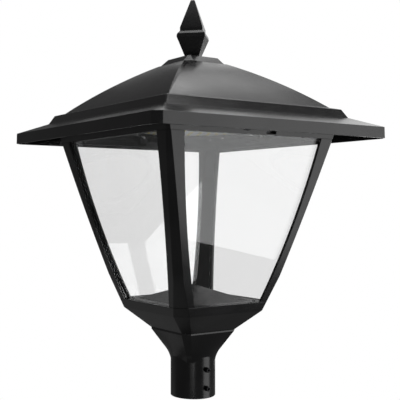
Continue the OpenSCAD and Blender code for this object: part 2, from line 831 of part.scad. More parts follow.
// Places a clip on a side, with its outer face on the rail's inner face
module clip_place(side) {
    shift = side == 0 ? front_clip_x : 0;
    rotate([0, 0, 90 * side]) translate([shift, 0, 0]) children();
}

clip_top = flange_z - seat_gap;
clip_foot_z = head_z + bead_h + seat_gap;
clip_back = clip_in + clip_nose;
clip_lean_room = 0.05;
clip_screw_drop = 1.4;
clip_screw_z = (clip_top + clip_foot_z) / 2 - clip_screw_drop;

// Children stand on the front rail's outer face at height z, along its outward normal
module on_rail(z) {
    translate([0, -cage_half(z), z]) rotate([90 + asin((bow_centre[1] - z) / bow_r), 0, 0])
        children();
}

module clip_screw_hole() {
    skin = 1;
    on_rail(clip_screw_z) translate([0, 0, -2 * clip_back])
        rod(clip_screw_d + 2 * run_gap, 2 * clip_back - skin, small_fn);
}

module bead_clips() {
    clip_low = clip_top - clip_h;
    wall_in = cage_wall + pane_gap;
    color(metal) for (side = [0:3]) clip_place(side) difference() {
        side_layer(wall_in, clip_back - wall_in, clip_low, clip_top, clip_w / 2);
        side_layer(0, clip_in, clip_low - over, clip_foot_z, clip_w);
        clip_screw_hole();
    }
}

module clip_screws() {
    head = 0.6 * clip_screw_d;
    color(steel) for (side = [0:3]) clip_place(side) on_rail(clip_screw_z) {
        translate([0, 0, -clip_back - clip_lean_room])
            rod(clip_screw_d, clip_back + clip_lean_room - cage_wall / 2, small_fn);
        translate([0, 0, -clip_back - clip_lean_room - head])
            rod(1.8 * clip_screw_d, head, small_fn);
    }
}

module hood_gasket() {
    outer = cage_half(frame_z) - 0.6;
    corner = post_diagonal(frame_z) - 0.6;
    color(rubber) difference() {
        four_sided(2 * outer) {
            band_2d(frame_z, frame_z + gasket_t, outer);
            band_2d(frame_z, frame_z + gasket_t, corner);
        }
        four_sided(2 * outer) {
            band_2d(frame_z - over, frame_z + gasket_t + over, outer - gasket_w);
            band_2d(frame_z - over, frame_z + gasket_t + over, corner - gasket_w);
        }
    }
}

// Hood: fascia, skirt, band, ledge and curved roof in one shell
hood_face = [[eave_half, eave_z], [eave_half - fascia_lean, skirt_z], [band_half, band_z],
    [band_half - band_lean, ledge_z], [roof_half, roof_z]];
hood_corner = [[diagonal(eave_half, eave_chamfer), eave_z],
    [diagonal(eave_half - fascia_lean, eave_chamfer), skirt_z],
    [diagonal(band_half, band_chamfer), band_z],
    [diagonal(band_half - band_lean, band_chamfer), ledge_z],
    [diagonal(roof_half, roof_chamfer_foot), roof_z]];

module hood_outline(pts, top, r, wall) {
    inner = inset(pts, wall);
    foot = wall > 0 ? [[inner[0][0], inner[0][1] - over]] : [];
    last = pts[len(pts) - 1];
    polygon(mirrored(concat(foot, inner)));
    intersection() {
        bulged(last, [top, roof_top_z], r, wall);
        band_2d(inner[len(pts) - 1][1] - wall / 2, roof_top_z - wall, 2 * eave_half);
    }
}

module hood_body(wall) {
    four_sided(2 * eave_half) {
        hood_outline(hood_face, roof_top_half, roof_r, wall);
        hood_outline(hood_corner, diagonal(roof_top_half, roof_chamfer_top), hip_r, wall);
    }
}

module hood() {
    color(metal) difference() {
        union() {
            difference() {
                hood_body(0);
                hood_body(hood_wall);
            }
            intersection() {
                at_corners(boss_pitch, tray_top) rod(boss_d, roof_top_z - tray_top);
                hood_body(0);
            }
        }
        at_corners(boss_pitch, tray_top - over) rod(boss_screw_d + 2 * run_gap,
            boss_screw_bite + over + seat_gap);
        translate([0, 0, roof_top_z - 2 * hood_wall]) rod(stud_d + 2 * run_gap, 4 * hood_wall);
    }
}

module cap_plate() {
    color(metal) difference() {
        four_sided(2 * cap_half) {
            polygon(mirrored([[cap_half, roof_top_z], [cap_top_half, cap_z]]));
            polygon(mirrored([[diagonal(cap_half, cap_chamfer), roof_top_z],
                [diagonal(cap_top_half, cap_top_chamfer), cap_z]]));
        }
        translate([0, 0, roof_top_z - over]) rod(stud_d + 2 * run_gap, cap_h + 2 * over);
    }
}

// Finial: square in plan, set corner-on to the hood
finial_rise = finial_low_h + finial_step_h + finial_band_h + finial_spire_h;

module finial() {
    mid_z = finial_z + finial_low_h;
    shoulder_z = mid_z + finial_step_h;
    bevel_z = mid_z + finial_step_h / 2;
    bevel = finial_wide - 1.2;
    spire_z = shoulder_z + finial_band_h;
    tip_z = finial_z + finial_rise;
    outline = [[finial_low, finial_z], [finial_wide, mid_z], [bevel, bevel_z],
        [finial_shoulder, shoulder_z], [finial_shoulder, spire_z], [finial_tip, tip_z]];
    flats = mirrored([for (p = outline) [p[0] / root2, p[1]]]);
    color(metal) difference() {
        union() {
            intersection() {
                slab(45, finial_wide) polygon(flats);
                slab(135, finial_wide) polygon(flats);
            }
            translate([0, 0, cap_z]) rod(finial_foot_d, finial_foot_h + over);
        }
        translate([0, 0, cap_z - over]) rod(stud_d + 2 * run_gap, stud_bite + over + seat_gap);
    }
}

stud_low_z = roof_top_z - hood_wall - washer_t - nut_h - 3;

module finial_stud() {
    color(steel) translate([0, 0, stud_low_z]) rod(stud_d, cap_z + stud_bite - stud_low_z);
}

module finial_washer() {
    color(steel) translate([0, 0, roof_top_z - hood_wall - washer_t]) difference() {
        rod(2.1 * stud_d, washer_t);
        translate([0, 0, -over]) rod(stud_d + 2 * run_gap, washer_t + 2 * over);
    }
}

module finial_nut() {
    color(steel) translate([0, 0, roof_top_z - hood_wall - washer_t - nut_h]) difference() {
        cylinder(d = nut_w / cos(30), h = nut_h, $fn = 6);
        translate([0, 0, -over]) rod(stud_d + 2 * run_gap, nut_h + 2 * over);
    }
}

// Light engine: tray, heat sink, LED board, lens and gear
tray_half = cage_half(frame_z) - 0.5;

module gear_tray() {
    color(bare_metal) difference() {
        translate([-tray_half, -tray_half, tray_z]) cube([2 * tray_half, 2 * tray_half, tray_t]);
        translate([0, 0, tray_z - over]) rod(fin_d + 4, tray_t + 2 * over, 2 * round_fn);
        at_corners(boss_pitch, tray_z - over) rod(boss_screw_d + 2 * seat_gap, tray_t + 2 * over);
        gear_screw_places() rod(clip_screw_d + 2 * run_gap, 2 * tray_t, small_fn);
        leaf_screw_places() rod(clip_screw_d + 2 * run_gap, 2 * tray_t, small_fn);
        keeper_screw_places() rod(clip_screw_d + 2 * run_gap, 2 * tray_t, small_fn);
    }
}

module tray_screws() {
    head = 0.5 * boss_screw_d;
    color(steel) at_corners(boss_pitch, tray_z - head) {
        rod(1.8 * boss_screw_d, head);
        rod(boss_screw_d, head + tray_t + boss_screw_bite);
    }
}

module heat_sink() {
    fins = floor((fin_d - fin_t) / 2 / fin_pitch);
    color(bare_metal) {
        translate([0, 0, sink_z]) rod(sink_d, sink_base_t, 2 * round_fn);
        intersection() {
            translate([0, 0, tray_z]) rod(fin_d, fin_h, 2 * round_fn);
            for (i = [-fins:fins]) translate([i * fin_pitch - fin_t / 2, -fin_d / 2, tray_z - over])
                cube([fin_t, fin_d, fin_h + over]);
        }
    }
}

board_d = sink_d - 2 * board_rim;

module led_board() {
    color("whitesmoke") translate([0, 0, board_z]) rod(board_d, board_t, 2 * round_fn);
}

module led_packages() {
    rings = min(led_rings, floor((board_d / 2 - led_side) / led_ring_pitch));
    color("khaki") for (ring = [1:rings]) for (i = [0:6 * ring - 1])
        rotate([0, 0, 60 * i / ring]) translate([ring * led_ring_pitch, 0, board_z - led_h / 2])
            cube([led_side, led_side, led_h], center = true);
}

lens_d = board_d + 4;
ring_inner_d = lens_d - 2 * lens_lip;

module lens() {
    color(clear) translate([0, 0, lens_z]) rod(lens_d, lens_t, 2 * round_fn);
}

module lens_ring() {
    color(metal) difference() {
        translate([0, 0, ring_under]) rod(sink_d, sink_z - ring_under, 2 * round_fn);
        translate([0, 0, ring_under - over]) rod(ring_inner_d, sink_z, 2 * round_fn);
        translate([0, 0, lens_z]) rod(lens_d + 2 * pane_gap, sink_z, 2 * round_fn);
        lens_screw_places() rod(clip_screw_d + 2 * run_gap, sink_z, small_fn);
    }
}

module lens_screw_places() {
    reach = (sink_d + lens_d) / 4;
    for (i = [0:lens_screws_n - 1]) rotate([0, 0, 360 * (i + 0.5) / lens_screws_n])
        translate([reach, 0, ring_under - over]) children();
}

module lens_screws() {
    head = 1.2;
    color(steel) lens_screw_places() translate([0, 0, over - head]) {
        rod(1.8 * clip_screw_d, head, small_fn);
        rod(clip_screw_d, head + sink_z - ring_under - seat_gap, small_fn);
    }
}

ear = 10;
driver_y = -fin_d / 2 - gear_gap - driver_w / 2;
surge_y = fin_d / 2 + gear_gap + surge_w / 2;

module gear_box(length, width, height) {
    translate([-length / 2, -width / 2, tray_top]) cube([length, width, height]);
    translate([-length / 2 - ear, -width / 2, tray_top]) cube([length + 2 * ear, width, 2]);
}

module gear_screw_places() {
    for (side = [-1, 1]) {
        translate([side * (driver_l + ear) / 2, driver_y, tray_z - over]) children();
        translate([side * (surge_l + ear) / 2, surge_y, tray_z - over]) children();
    }
}

module led_driver() {
    color("silver") difference() {
        translate([0, driver_y, 0]) gear_box(driver_l, driver_w, driver_h);
        gear_screw_places() rod(clip_screw_d + 2 * run_gap, 2 * tray_t + 2, small_fn);
    }
}

module surge_protector() {
    color("darkslategray") difference() {
        translate([0, surge_y, 0]) gear_box(surge_l, surge_w, surge_h);
        gear_screw_places() rod(clip_screw_d + 2 * run_gap, 2 * tray_t + 2, small_fn);
    }
}

module driver_screws() {
    head = 0.6 * clip_screw_d;
    color(steel) gear_screw_places() translate([0, 0, over]) {
        rod(clip_screw_d, tray_t + 2, small_fn);
        translate([0, 0, tray_t + 2]) rod(1.8 * clip_screw_d, head, small_fn);
    }
}

// Hinges: each hood leaf lies on the tray and reaches down to the pin
leaf_w = frame_knuckle_w + 2 * (knuckle_gap + leaf_knuckle_w);
leaf_in_y = tray_half - 32;

module hinge_leaf(side) {
    x = side * hinge_x;
    arm_y = hinge_y - knuckle_d / 2;
    color(metal) difference() {
        union() {
            translate([x - leaf_w / 2, leaf_in_y, tray_top])
                cube([leaf_w, arm_y - leaf_in_y, leaf_t]);
            for (end = [-1, 1]) {
                centre = x + end * (leaf_w - leaf_knuckle_w) / 2;
                translate([centre - leaf_knuckle_w / 2, arm_y, hinge_z])
                    cube([leaf_knuckle_w, knuckle_d / 2, tray_top + leaf_t - hinge_z]);
                translate([centre - leaf_knuckle_w / 2, hinge_y, hinge_z]) rotate([0, 90, 0])
                    rod(knuckle_d, leaf_knuckle_w);
            }
        }
        hinge_bores(hinge_pin_d + 2 * run_gap);
        leaf_screw_places() rod(clip_screw_d + 2 * run_gap, 2 * tray_t + leaf_t, small_fn);
    }
}

module leaf_screw_places() {
    for (side = [-1, 1], end = [-1, 1])
        translate([side * hinge_x + end * leaf_w / 4, tray_half - 20, tray_z - over]) children();
}

module leaf_screws() {
    head = 0.6 * clip_screw_d;
    color(steel) leaf_screw_places() translate([0, 0, over]) {
        rod(clip_screw_d, tray_t + leaf_t, small_fn);
        translate([0, 0, tray_t + leaf_t]) rod(1.8 * clip_screw_d, head, small_fn);
    }
}

module hinge_pin(side) {
    head = 1.5;
    color(steel) translate([side * hinge_x, hinge_y, hinge_z]) rotate([0, 90, 0])
        translate([0, 0, -leaf_w / 2]) {
            rod(hinge_pin_d, leaf_w + 1);
            translate([0, 0, -head - seat_gap]) {
                rod(hinge_pin_d, head + seat_gap + over);
                rod(hinge_pin_d + 3, head);
            }
        }
}

// Latch: a bar behind the front rail slides over the keeper's toe
guide_z = head_z + 13.8;
bar_low = pane_top_z + slide_gap;
bar_top = flange_z - slide_gap;
bar_in = cage_wall + slide_gap;
bar_back = bar_in + latch_t;
slot_z = head_z + slot_lift;
keeper_x = slot_x + slot_w / 2 + 4;
keeper_w = 12;
toe_t = 3;
toe_z = head_z + bead_h + 0.7;
nose_z = toe_z + toe_t + slide_gap;
nose = 14;
bar_end = keeper_x - 4;
keeper_y = cage_half(toe_z) - bar_back - 0.6;
toe_y = cage_half(toe_z) - cage_wall - 0.7;

module latch_slot() {
    translate([slot_x - slot_w / 2, -2 * top_half, slot_z])
        cube([slot_w, 2 * top_half - flange_open, slot_h]);
}

module keeper_notch() {
    room = 2;
    translate([keeper_x - room, -cage_half(flange_z) + cage_wall, flange_z - over])
        cube([keeper_w + 2 * room, cage_half(flange_z) - cage_wall - flange_open + over,
            flange_t + 2 * over]);
}

module bar_slice(x0, x1, z0, z1) {
    intersection() {
        side_layer(bar_in, latch_t, z0, z1, top_half);
        translate([x0, -2 * top_half, z0 - over]) cube([x1 - x0, 2 * top_half, z1 - z0 + 2 * over]);
    }
}

module latch_bar() {
    tab_w = slot_w - latch_travel - 2 * slide_gap;
    tab_x = slot_x - slot_w / 2 + slide_gap;
    tail = 12;
    bar_start = -guide_x - latch_travel - tail;
    tab_top = slot_z + slot_h - slide_gap;
    tab_out = cage_half(slot_z) - 1;
    tab_in = cage_half(bar_low) - bar_in - latch_t / 2;
    color("dimgray") difference() {
        union() {
            bar_slice(bar_start, bar_end, bar_low, bar_top);
            translate([tab_x, -tab_out, bar_low])
                cube([tab_w, tab_out - tab_in, tab_top - bar_low]);
        }
        translate([bar_end - nose, -2 * top_half, bar_low - over])
            cube([nose + over, 2 * top_half, nose_z - bar_low + over]);
        for (x = [-guide_x - latch_travel, -guide_x]) translate([x, 0, 0]) guide_slot_end();
        translate([-guide_x - latch_travel, 0, 0]) on_rail(guide_z)
            translate([0, -guide_d / 2 - slide_gap, -2 * bar_back])
                cube([latch_travel, guide_d + 2 * slide_gap, 3 * bar_back]);
    }
}

module guide_slot_end() {
    on_rail(guide_z) translate([0, 0, -2 * bar_back])
        rod(guide_d + 2 * slide_gap, 3 * bar_back, small_fn);
}

module latch_guide_screw() {
    head_t = 2.4;
    stop_t = 1.6;
    stop_z = -bar_back - slide_gap;
    color("dimgray") translate([-guide_x, 0, 0]) on_rail(guide_z) {
        translate([0, 0, 0.1]) rod(guide_head_d, head_t, round_fn);
        translate([0, 0, stop_z]) rod(guide_d, 0.1 - stop_z + over, small_fn);
        translate([0, 0, stop_z - stop_t]) rod(guide_d + 3, stop_t, small_fn);
    }
}

module keeper_screw_places() {
    translate([keeper_x + keeper_w / 2, -flange_open + 10, tray_z - over]) children();
}

module latch_keeper() {
    foot_in = flange_open - 18;
    foot_t = 2;
    leg_t = 3;
    color(metal) difference() {
        union() {
            translate([keeper_x, -keeper_y, toe_z]) cube([keeper_w, leg_t, tray_z - toe_z]);
            translate([keeper_x, -toe_y, toe_z])
                cube([keeper_w, toe_y - keeper_y + over, toe_t]);
            translate([keeper_x, -keeper_y, tray_z - foot_t])
                cube([keeper_w, keeper_y - foot_in, foot_t]);
        }
        keeper_screw_places() translate([0, 0, -2 * foot_t])
            rod(clip_screw_d + 2 * run_gap, 4 * tray_t, small_fn);
    }
}

module keeper_screws() {
    head = 0.6 * clip_screw_d;
    foot_t = 2;
    color(steel) keeper_screw_places() translate([0, 0, over - foot_t - head]) {
        rod(1.8 * clip_screw_d, head, small_fn);
        rod(clip_screw_d, head + foot_t + tray_t, small_fn);
    }
}

neck_casting();
base_pan();
neck_bolts();
terminal_block();
wiring_cover();
cover_screws();
corner_post(0);  // corner_post_front_left
corner_post(90);  // corner_post_front_right
corner_post(180);  // corner_post_rear_right
corner_post(270);  // corner_post_rear_left
top_frame();
post_dowels();
post_screws_upper();
pane(0);  // pane_front
pane(1);  // pane_right
pane(2);  // pane_rear
pane(3);  // pane_left
pane_seals();
pane_beads();
bead_clips();
clip_screws();
hood_gasket();
hood();
cap_plate();
finial();
finial_stud();
finial_nut();
finial_washer();
gear_tray();
tray_screws();
heat_sink();
led_board();
led_packages();
lens();
lens_ring();
lens_screws();
led_driver();
driver_screws();
surge_protector();
hinge_leaf(-1);  // hinge_leaf_left
hinge_leaf(1);  // hinge_leaf_right
leaf_screws();
hinge_pin(-1);  // hinge_pin_left
hinge_pin(1);  // hinge_pin_right
latch_keeper();
keeper_screws();
latch_bar();
latch_guide_screw();
set_screw(1, 0);  // set_screw_front_lower
set_screw(1, 1);  // set_screw_front_upper
set_screw(-1, 0);  // set_screw_rear_lower
set_screw(-1, 1);  // set_screw_rear_upper
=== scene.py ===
"""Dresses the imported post-top lantern: coated castings, bowed clear panes, the light engine and its screws.
The lantern's own frame has +Z up the pole's axis, and the latch side is -Y. Outlines are worked out in
millimetres. Finished meshes and the sizes that a user may change are in metres."""

import json
import math

import bmesh
import bpy
import numpy as np
from mathutils import Matrix, Vector


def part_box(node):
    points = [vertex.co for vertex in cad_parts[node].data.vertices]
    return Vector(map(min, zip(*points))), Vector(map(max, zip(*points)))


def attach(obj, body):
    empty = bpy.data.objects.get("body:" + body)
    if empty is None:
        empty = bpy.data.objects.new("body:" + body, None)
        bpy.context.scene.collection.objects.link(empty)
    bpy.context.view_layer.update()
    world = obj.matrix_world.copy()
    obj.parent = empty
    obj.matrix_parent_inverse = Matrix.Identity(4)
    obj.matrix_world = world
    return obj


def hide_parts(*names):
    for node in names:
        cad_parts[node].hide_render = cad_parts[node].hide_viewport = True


bl_info = {
    "name": "Post-top lantern",
    "version": (1, 0, 0),
    "blender": (4, 5, 0),
    "location": "3D View > Sidebar > Lantern",
    "description": "Builds the finish and the detail of a four-sided post-top lantern",
    "category": "Object",
}

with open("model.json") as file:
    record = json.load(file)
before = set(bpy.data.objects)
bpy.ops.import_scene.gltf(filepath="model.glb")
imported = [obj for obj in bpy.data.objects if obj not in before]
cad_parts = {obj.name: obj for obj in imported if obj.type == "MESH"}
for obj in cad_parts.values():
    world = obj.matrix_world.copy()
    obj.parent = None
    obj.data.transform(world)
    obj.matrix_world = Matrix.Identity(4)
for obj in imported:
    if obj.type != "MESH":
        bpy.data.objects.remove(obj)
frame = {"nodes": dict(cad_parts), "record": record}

MM = 0.001
ROOT2 = math.sqrt(2)
# Points closer than this, in metres, are one
WELD = 1e-6
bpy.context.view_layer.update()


def span(node, axis):
    """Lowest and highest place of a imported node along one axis, in millimetres"""
    low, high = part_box(node)
    return low[axis] / MM, high[axis] / MM


EAVE_HALF = span("hood", 0)[1]
HOOD_FOOT, HOOD_TOP = span("hood", 2)
CAP_FOOT, CAP_TOP = span("cap_plate", 2)
FINIAL_TOP = span("finial", 2)[1]
NECK_TOP = span("neck_casting", 2)[1]
SILL_Z = span("base_pan", 2)[1]
HEAD_Z = span("corner_post_front_left", 2)[1]


# sizes and colours a user may change


class LanternSizes(bpy.types.PropertyGroup):
    """Sizes of the visible castings and panes"""

    eave_half: bpy.props.FloatProperty(
        name="Eave half width", description="Half the width of the hood's fascia at its lower edge",
        default=EAVE_HALF * MM, min=0.2, max=0.25, precision=4, unit="LENGTH")
    eave_chamfer: bpy.props.FloatProperty(
        name="Eave chamfer", description="Corner chamfer of the fascia",
        default=0.0115, min=0.004, max=0.02, precision=4, unit="LENGTH")
    hood_wall: bpy.props.FloatProperty(
        name="Hood wall", description="Thickness of the hood's shell",
        default=0.003, min=0.002, max=0.005, precision=4, unit="LENGTH")
    edge_round: bpy.props.FloatProperty(
        name="Edge rounding", description="Radius that the coating leaves on the castings' edges",
        default=0.0007, min=0.0002, max=0.002, precision=4, unit="LENGTH")
    pane_thickness: bpy.props.FloatProperty(
        name="Pane thickness", description="Thickness of the clear panes",
        default=0.0025, min=0.0015, max=0.004, precision=4, unit="LENGTH")


class LanternColours(bpy.types.PropertyGroup):
    """Colours of the finishes"""

    coat: bpy.props.FloatVectorProperty(
        name="Powder coat", description="Colour of the satin black powder coat",
        subtype="COLOR", size=3, min=0.0, max=1.0, default=(0.0065, 0.0065, 0.0068))
    pane: bpy.props.FloatVectorProperty(
        name="Pane tint", description="Tint of the clear panes",
        subtype="COLOR", size=3, min=0.0, max=1.0, default=(0.68, 0.69, 0.69))
    phosphor: bpy.props.FloatVectorProperty(
        name="Phosphor", description="Colour of the unlit LED packages",
        subtype="COLOR", size=3, min=0.0, max=1.0, default=(0.88, 0.75, 0.20))
    backdrop: bpy.props.FloatVectorProperty(
        name="Backdrop", description="Colour of the floor and the backdrop",
        subtype="COLOR", size=3, min=0.0, max=1.0, default=(1.0, 1.0, 1.0))


def size_of(name):
    """A size that the user may change, in millimetres"""
    return getattr(bpy.context.scene.lantern_sizes, name) / MM


def colour_of(name):
    """A colour that the user may change"""
    return tuple(getattr(bpy.context.scene.lantern_colours, name))


# node helpers


def new_material(name):
    """A material with an empty node tree, its shader and its Object coordinates"""
    mat = bpy.data.materials.new(name)
    mat.use_nodes = True
    tree = mat.node_tree
    tree.nodes.clear()
    out = tree.nodes.new("ShaderNodeOutputMaterial")
    shader = tree.nodes.new("ShaderNodeBsdfPrincipled")
    tree.links.new(shader.outputs["BSDF"], out.inputs["Surface"])
    coords = tree.nodes.new("ShaderNodeTexCoord")
    return mat, tree, shader, coords.outputs["Object"]


def noise(tree, vector, scale, detail=3.0, roughness=0.5):
    node = tree.nodes.new("ShaderNodeTexNoise")
    node.inputs["Scale"].default_value = scale
    node.inputs["Detail"].default_value = detail
    node.inputs["Roughness"].default_value = roughness
    tree.links.new(vector, node.inputs["Vector"])
    return node.outputs["Fac"]


def stretch(tree, vector, scale):
    node = tree.nodes.new("ShaderNodeMapping")
    node.inputs["Scale"].default_value = scale
    tree.links.new(vector, node.inputs["Vector"])
    return node.outputs["Vector"]


def remap(tree, value, low, high, from_low=0.3, from_high=0.7):
    node = tree.nodes.new("ShaderNodeMapRange")
    node.inputs["From Min"].default_value = from_low
    node.inputs["From Max"].default_value = from_high
    node.inputs["To Min"].default_value = low
    node.inputs["To Max"].default_value = high
    tree.links.new(value, node.inputs["Value"])
    return node.outputs["Result"]


def blend_colours(tree, factor, first, second):
    node = tree.nodes.new("ShaderNodeMix")
    node.data_type = "RGBA"
    tree.links.new(factor, node.inputs["Factor"])
    node.inputs["A"].default_value = (*first, 1.0)
    node.inputs["B"].default_value = (*second, 1.0)
    return node.outputs["Result"]


def bump(tree, shader, height, strength, distance):
    node = tree.nodes.new("ShaderNodeBump")
    node.inputs["Strength"].default_value = strength
    node.inputs["Distance"].default_value = distance
    tree.links.new(height, node.inputs["Height"])
    tree.links.new(node.outputs["Normal"], shader.inputs["Normal"])


# finishes


def powder_coat():
    """Satin black powder coat: fine orange peel, slightly uneven gloss and a breath of dust"""
    mat, tree, shader, place = new_material("black_powder_coat")
    clean = colour_of("coat")
    dusty = [c * 1.9 + 0.002 for c in clean]
    cloud = remap(tree, noise(tree, place, 14.0, 4.0), 0.0, 1.0, 0.42, 0.72)
    tree.links.new(blend_colours(tree, cloud, clean, dusty), shader.inputs["Base Color"])
    tree.links.new(remap(tree, noise(tree, place, 38.0, 3.0), 0.2, 0.25), shader.inputs["Roughness"])
    shader.inputs["Specular IOR Level"].default_value = 0.5
    bump(tree, shader, noise(tree, place, 620.0, 2.0), 0.12, 0.0002)
    return mat


def metal(name, colour, rough, grain=(1.0, 1.0, 1.0), grain_scale=900.0):
    """Bare or plated metal with a fine grain and worn, uneven gloss"""
    mat, tree, shader, place = new_material(name)
    shader.inputs["Metallic"].default_value = 1.0
    lines = noise(tree, stretch(tree, place, grain), grain_scale, 4.0, 0.6)
    dull = [c * 0.8 for c in colour]
    worn = blend_colours(tree, remap(tree, lines, 0.0, 1.0), dull, colour)
    gloss = remap(tree, noise(tree, place, 60.0), rough * 0.8, rough * 1.2)
    tree.links.new(worn, shader.inputs["Base Color"])
    tree.links.new(gloss, shader.inputs["Roughness"])
    bump(tree, shader, lines, 0.1, 0.0001)
    return mat


def moulded(name, colour, rough):
    """Moulded plastic, rubber or solder mask with a fine grain"""
    mat, tree, shader, place = new_material(name)
    grain = noise(tree, place, 500.0, 3.0)
    pale = [min(1.0, c * 1.12 + 0.002) for c in colour]
    uneven = blend_colours(tree, remap(tree, noise(tree, place, 40.0), 0.0, 1.0), colour, pale)
    tree.links.new(uneven, shader.inputs["Base Color"])
    tree.links.new(remap(tree, grain, rough * 0.9, rough * 1.1), shader.inputs["Roughness"])
    bump(tree, shader, grain, 0.12, 0.0001)
    return mat


def clear_sheet(name, tint, veil, grazing=1.0):
    """Clear polished sheet: a thin film on each face, whose mirror grows with the angle of view"""
    mat, tree, shader, place = new_material(name)
    shader.inputs["Base Color"].default_value = (*tint, 1.0)
    shader.inputs["Metallic"].default_value = 1.0
    facing = tree.nodes.new("ShaderNodeLayerWeight")
    facing.inputs["Blend"].default_value = 0.5
    edge = tree.nodes.new("ShaderNodeMath")
    edge.operation = "POWER"
    edge.inputs[1].default_value = 5.0
    tree.links.new(facing.outputs["Facing"], edge.inputs[0])
    tree.links.new(remap(tree, edge.outputs["Value"], veil, grazing, 0.0, 1.0), shader.inputs["Alpha"])
    tree.links.new(remap(tree, noise(tree, place, 9.0), 0.012, 0.028), shader.inputs["Roughness"])
    return mat


MATERIALS = {}


def finish_of(slot):
    """The finish of a material slot of the record, or of the dark screws, made once"""
    makers = {
        "black_coat": powder_coat,
        "zinc_steel": lambda: metal("zinc_plated_steel", (0.62, 0.62, 0.63), 0.34),
        "dull_steel": lambda: metal("grey_oxide_steel", (0.20, 0.20, 0.21), 0.42),
        "black_steel": lambda: metal("black_oxide_steel", (0.03, 0.03, 0.032), 0.38),
        "clear_pane": lambda: clear_sheet("clear_pane_sheet", colour_of("pane"), 0.075),
        "clear_lens": lambda: clear_sheet("clear_lens_sheet", (0.78, 0.78, 0.77), 0.04, 0.1),
        "seal_rubber": lambda: moulded("seal_rubber_black", (0.012, 0.012, 0.012), 0.7),
        "bare_aluminium": lambda: metal("bare_aluminium_brushed", (0.74, 0.75, 0.76), 0.36,
                                        (1.0, 12.0, 12.0), 260.0),
        "board_white": lambda: moulded("solder_mask_white", (0.84, 0.84, 0.80), 0.5),
        "led_phosphor": lambda: moulded("led_phosphor_yellow", colour_of("phosphor"), 0.35),
        "driver_case": lambda: moulded("driver_enamel_grey", (0.50, 0.50, 0.51), 0.4),
        "surge_case": lambda: moulded("surge_case_dark", (0.03, 0.04, 0.06), 0.3),
        "terminal_plastic": lambda: moulded("terminal_ivory", (0.68, 0.65, 0.54), 0.45),
    }
    if slot not in MATERIALS:
        MATERIALS[slot] = makers[slot]()
    return MATERIALS[slot]


# mesh helpers


def plain_object(name, bm, material, smooth_angle=32.0):
    """An object at the origin from a bmesh, smooth except across sharp edges"""
    bmesh.ops.remove_doubles(bm, verts=bm.verts, dist=WELD)
    bmesh.ops.recalc_face_normals(bm, faces=bm.faces)
    mesh = bpy.data.meshes.new(name)
    bm.to_mesh(mesh)
    bm.free()
    obj = bpy.data.objects.new(name, mesh)
    bpy.context.scene.collection.objects.link(obj)
    mesh.materials.append(material)
    for poly in mesh.polygons:
        poly.use_smooth = True
    mesh.set_sharp_from_angle(angle=math.radians(smooth_angle))
    return obj


def apply_modifiers(obj):
    """Turns the evaluated object into its own plain mesh and drops the modifiers"""
    bpy.context.view_layer.update()
    evaluated = obj.evaluated_get(bpy.context.evaluated_depsgraph_get())
    mesh = bpy.data.meshes.new_from_object(evaluated)
    old = obj.data
    obj.modifiers.clear()
    obj.data = mesh
    mesh.name = obj.name
    if old.users == 0:
        bpy.data.meshes.remove(old)


def round_edges(obj, width_mm, angle=24.0):
    """Rounds the sharp edges of a finished form as the coating does"""
    mod = obj.modifiers.new("edge_round", "BEVEL")
    mod.width = width_mm * MM
    mod.segments = 2
    mod.limit_method = "ANGLE"
    mod.angle_limit = math.radians(angle)
    mod.miter_outer = "MITER_ARC"
    apply_modifiers(obj)
    for poly in obj.data.polygons:
        poly.use_smooth = True
    obj.data.set_sharp_from_angle(angle=math.radians(50.0))
    keep_faces_flat(obj)


def keep_faces_flat(obj):
    """Lets the wide faces rule the shading, so that only the rounded edges between them look round"""
    mod = obj.modifiers.new("flat_faces", "WEIGHTED_NORMAL")
    mod.mode = "FACE_AREA"
    mod.weight = 100
    mod.keep_sharp = True
    apply_modifiers(obj)


def add_turned(bm, profile, segments, matrix=Matrix.Identity(4)):
    """Adds a closed turned body from points of radius and height, placed by a matrix in millimetres"""
    turns = [2 * math.pi * i / segments for i in range(segments)]
    loft(bm, [[matrix @ Vector((r * math.cos(a), r * math.sin(a), z)) for a in turns] for r, z in profile])


def loft(bm, rings):
    """Joins rings of equal length, given as lists of millimetre points, with quads, and caps both ends"""
    made = [[bm.verts.new(Vector(p) * MM) for p in ring] for ring in rings]
    count = len(made[0])
    for low, high in zip(made, made[1:]):
        for i in range(count):
            j = (i + 1) % count
            bm.faces.new((low[i], low[j], high[j], high[i]))
    bm.faces.new(list(reversed(made[0])))
    bm.faces.new(made[-1])


LEAST_CHAMFER = 0.02


def corner_ring(half, chamfer, z):
    """Eight points of a square with chamfered corners"""
    c = max(chamfer, LEAST_CHAMFER)
    inner = half - c
    return [(half, -inner, z), (half, inner, z), (inner, half, z), (-inner, half, z),
            (-half, inner, z), (-half, -inner, z), (-inner, -half, z), (inner, -half, z)]


def arc_centre(a, b, r):
    """Centre of the circle through a and b, on the inner side of the line from a to b"""
    run = (b[0] - a[0], b[1] - a[1])
    length = math.hypot(*run)
    side = (-run[1] / length, run[0] / length)
    rise = math.sqrt(r * r - length * length / 4)
    return ((a[0] + b[0]) / 2 + side[0] * rise, (a[1] + b[1]) / 2 + side[1] * rise)


def arc_reach(centre, r, z):
    """How far the outer side of an arc reaches at a height"""
    return centre[0] + math.sqrt(r * r - (z - centre[1]) ** 2)


def diagonal(half, chamfer):
    """Distance of a chamfer from the axis"""
    return (2 * half - chamfer) / ROOT2


def levels(low, high, count):
    """Even steps from low to high, both included"""
    return [low + (high - low) * i / count for i in range(count + 1)]


# the cage's own outlines

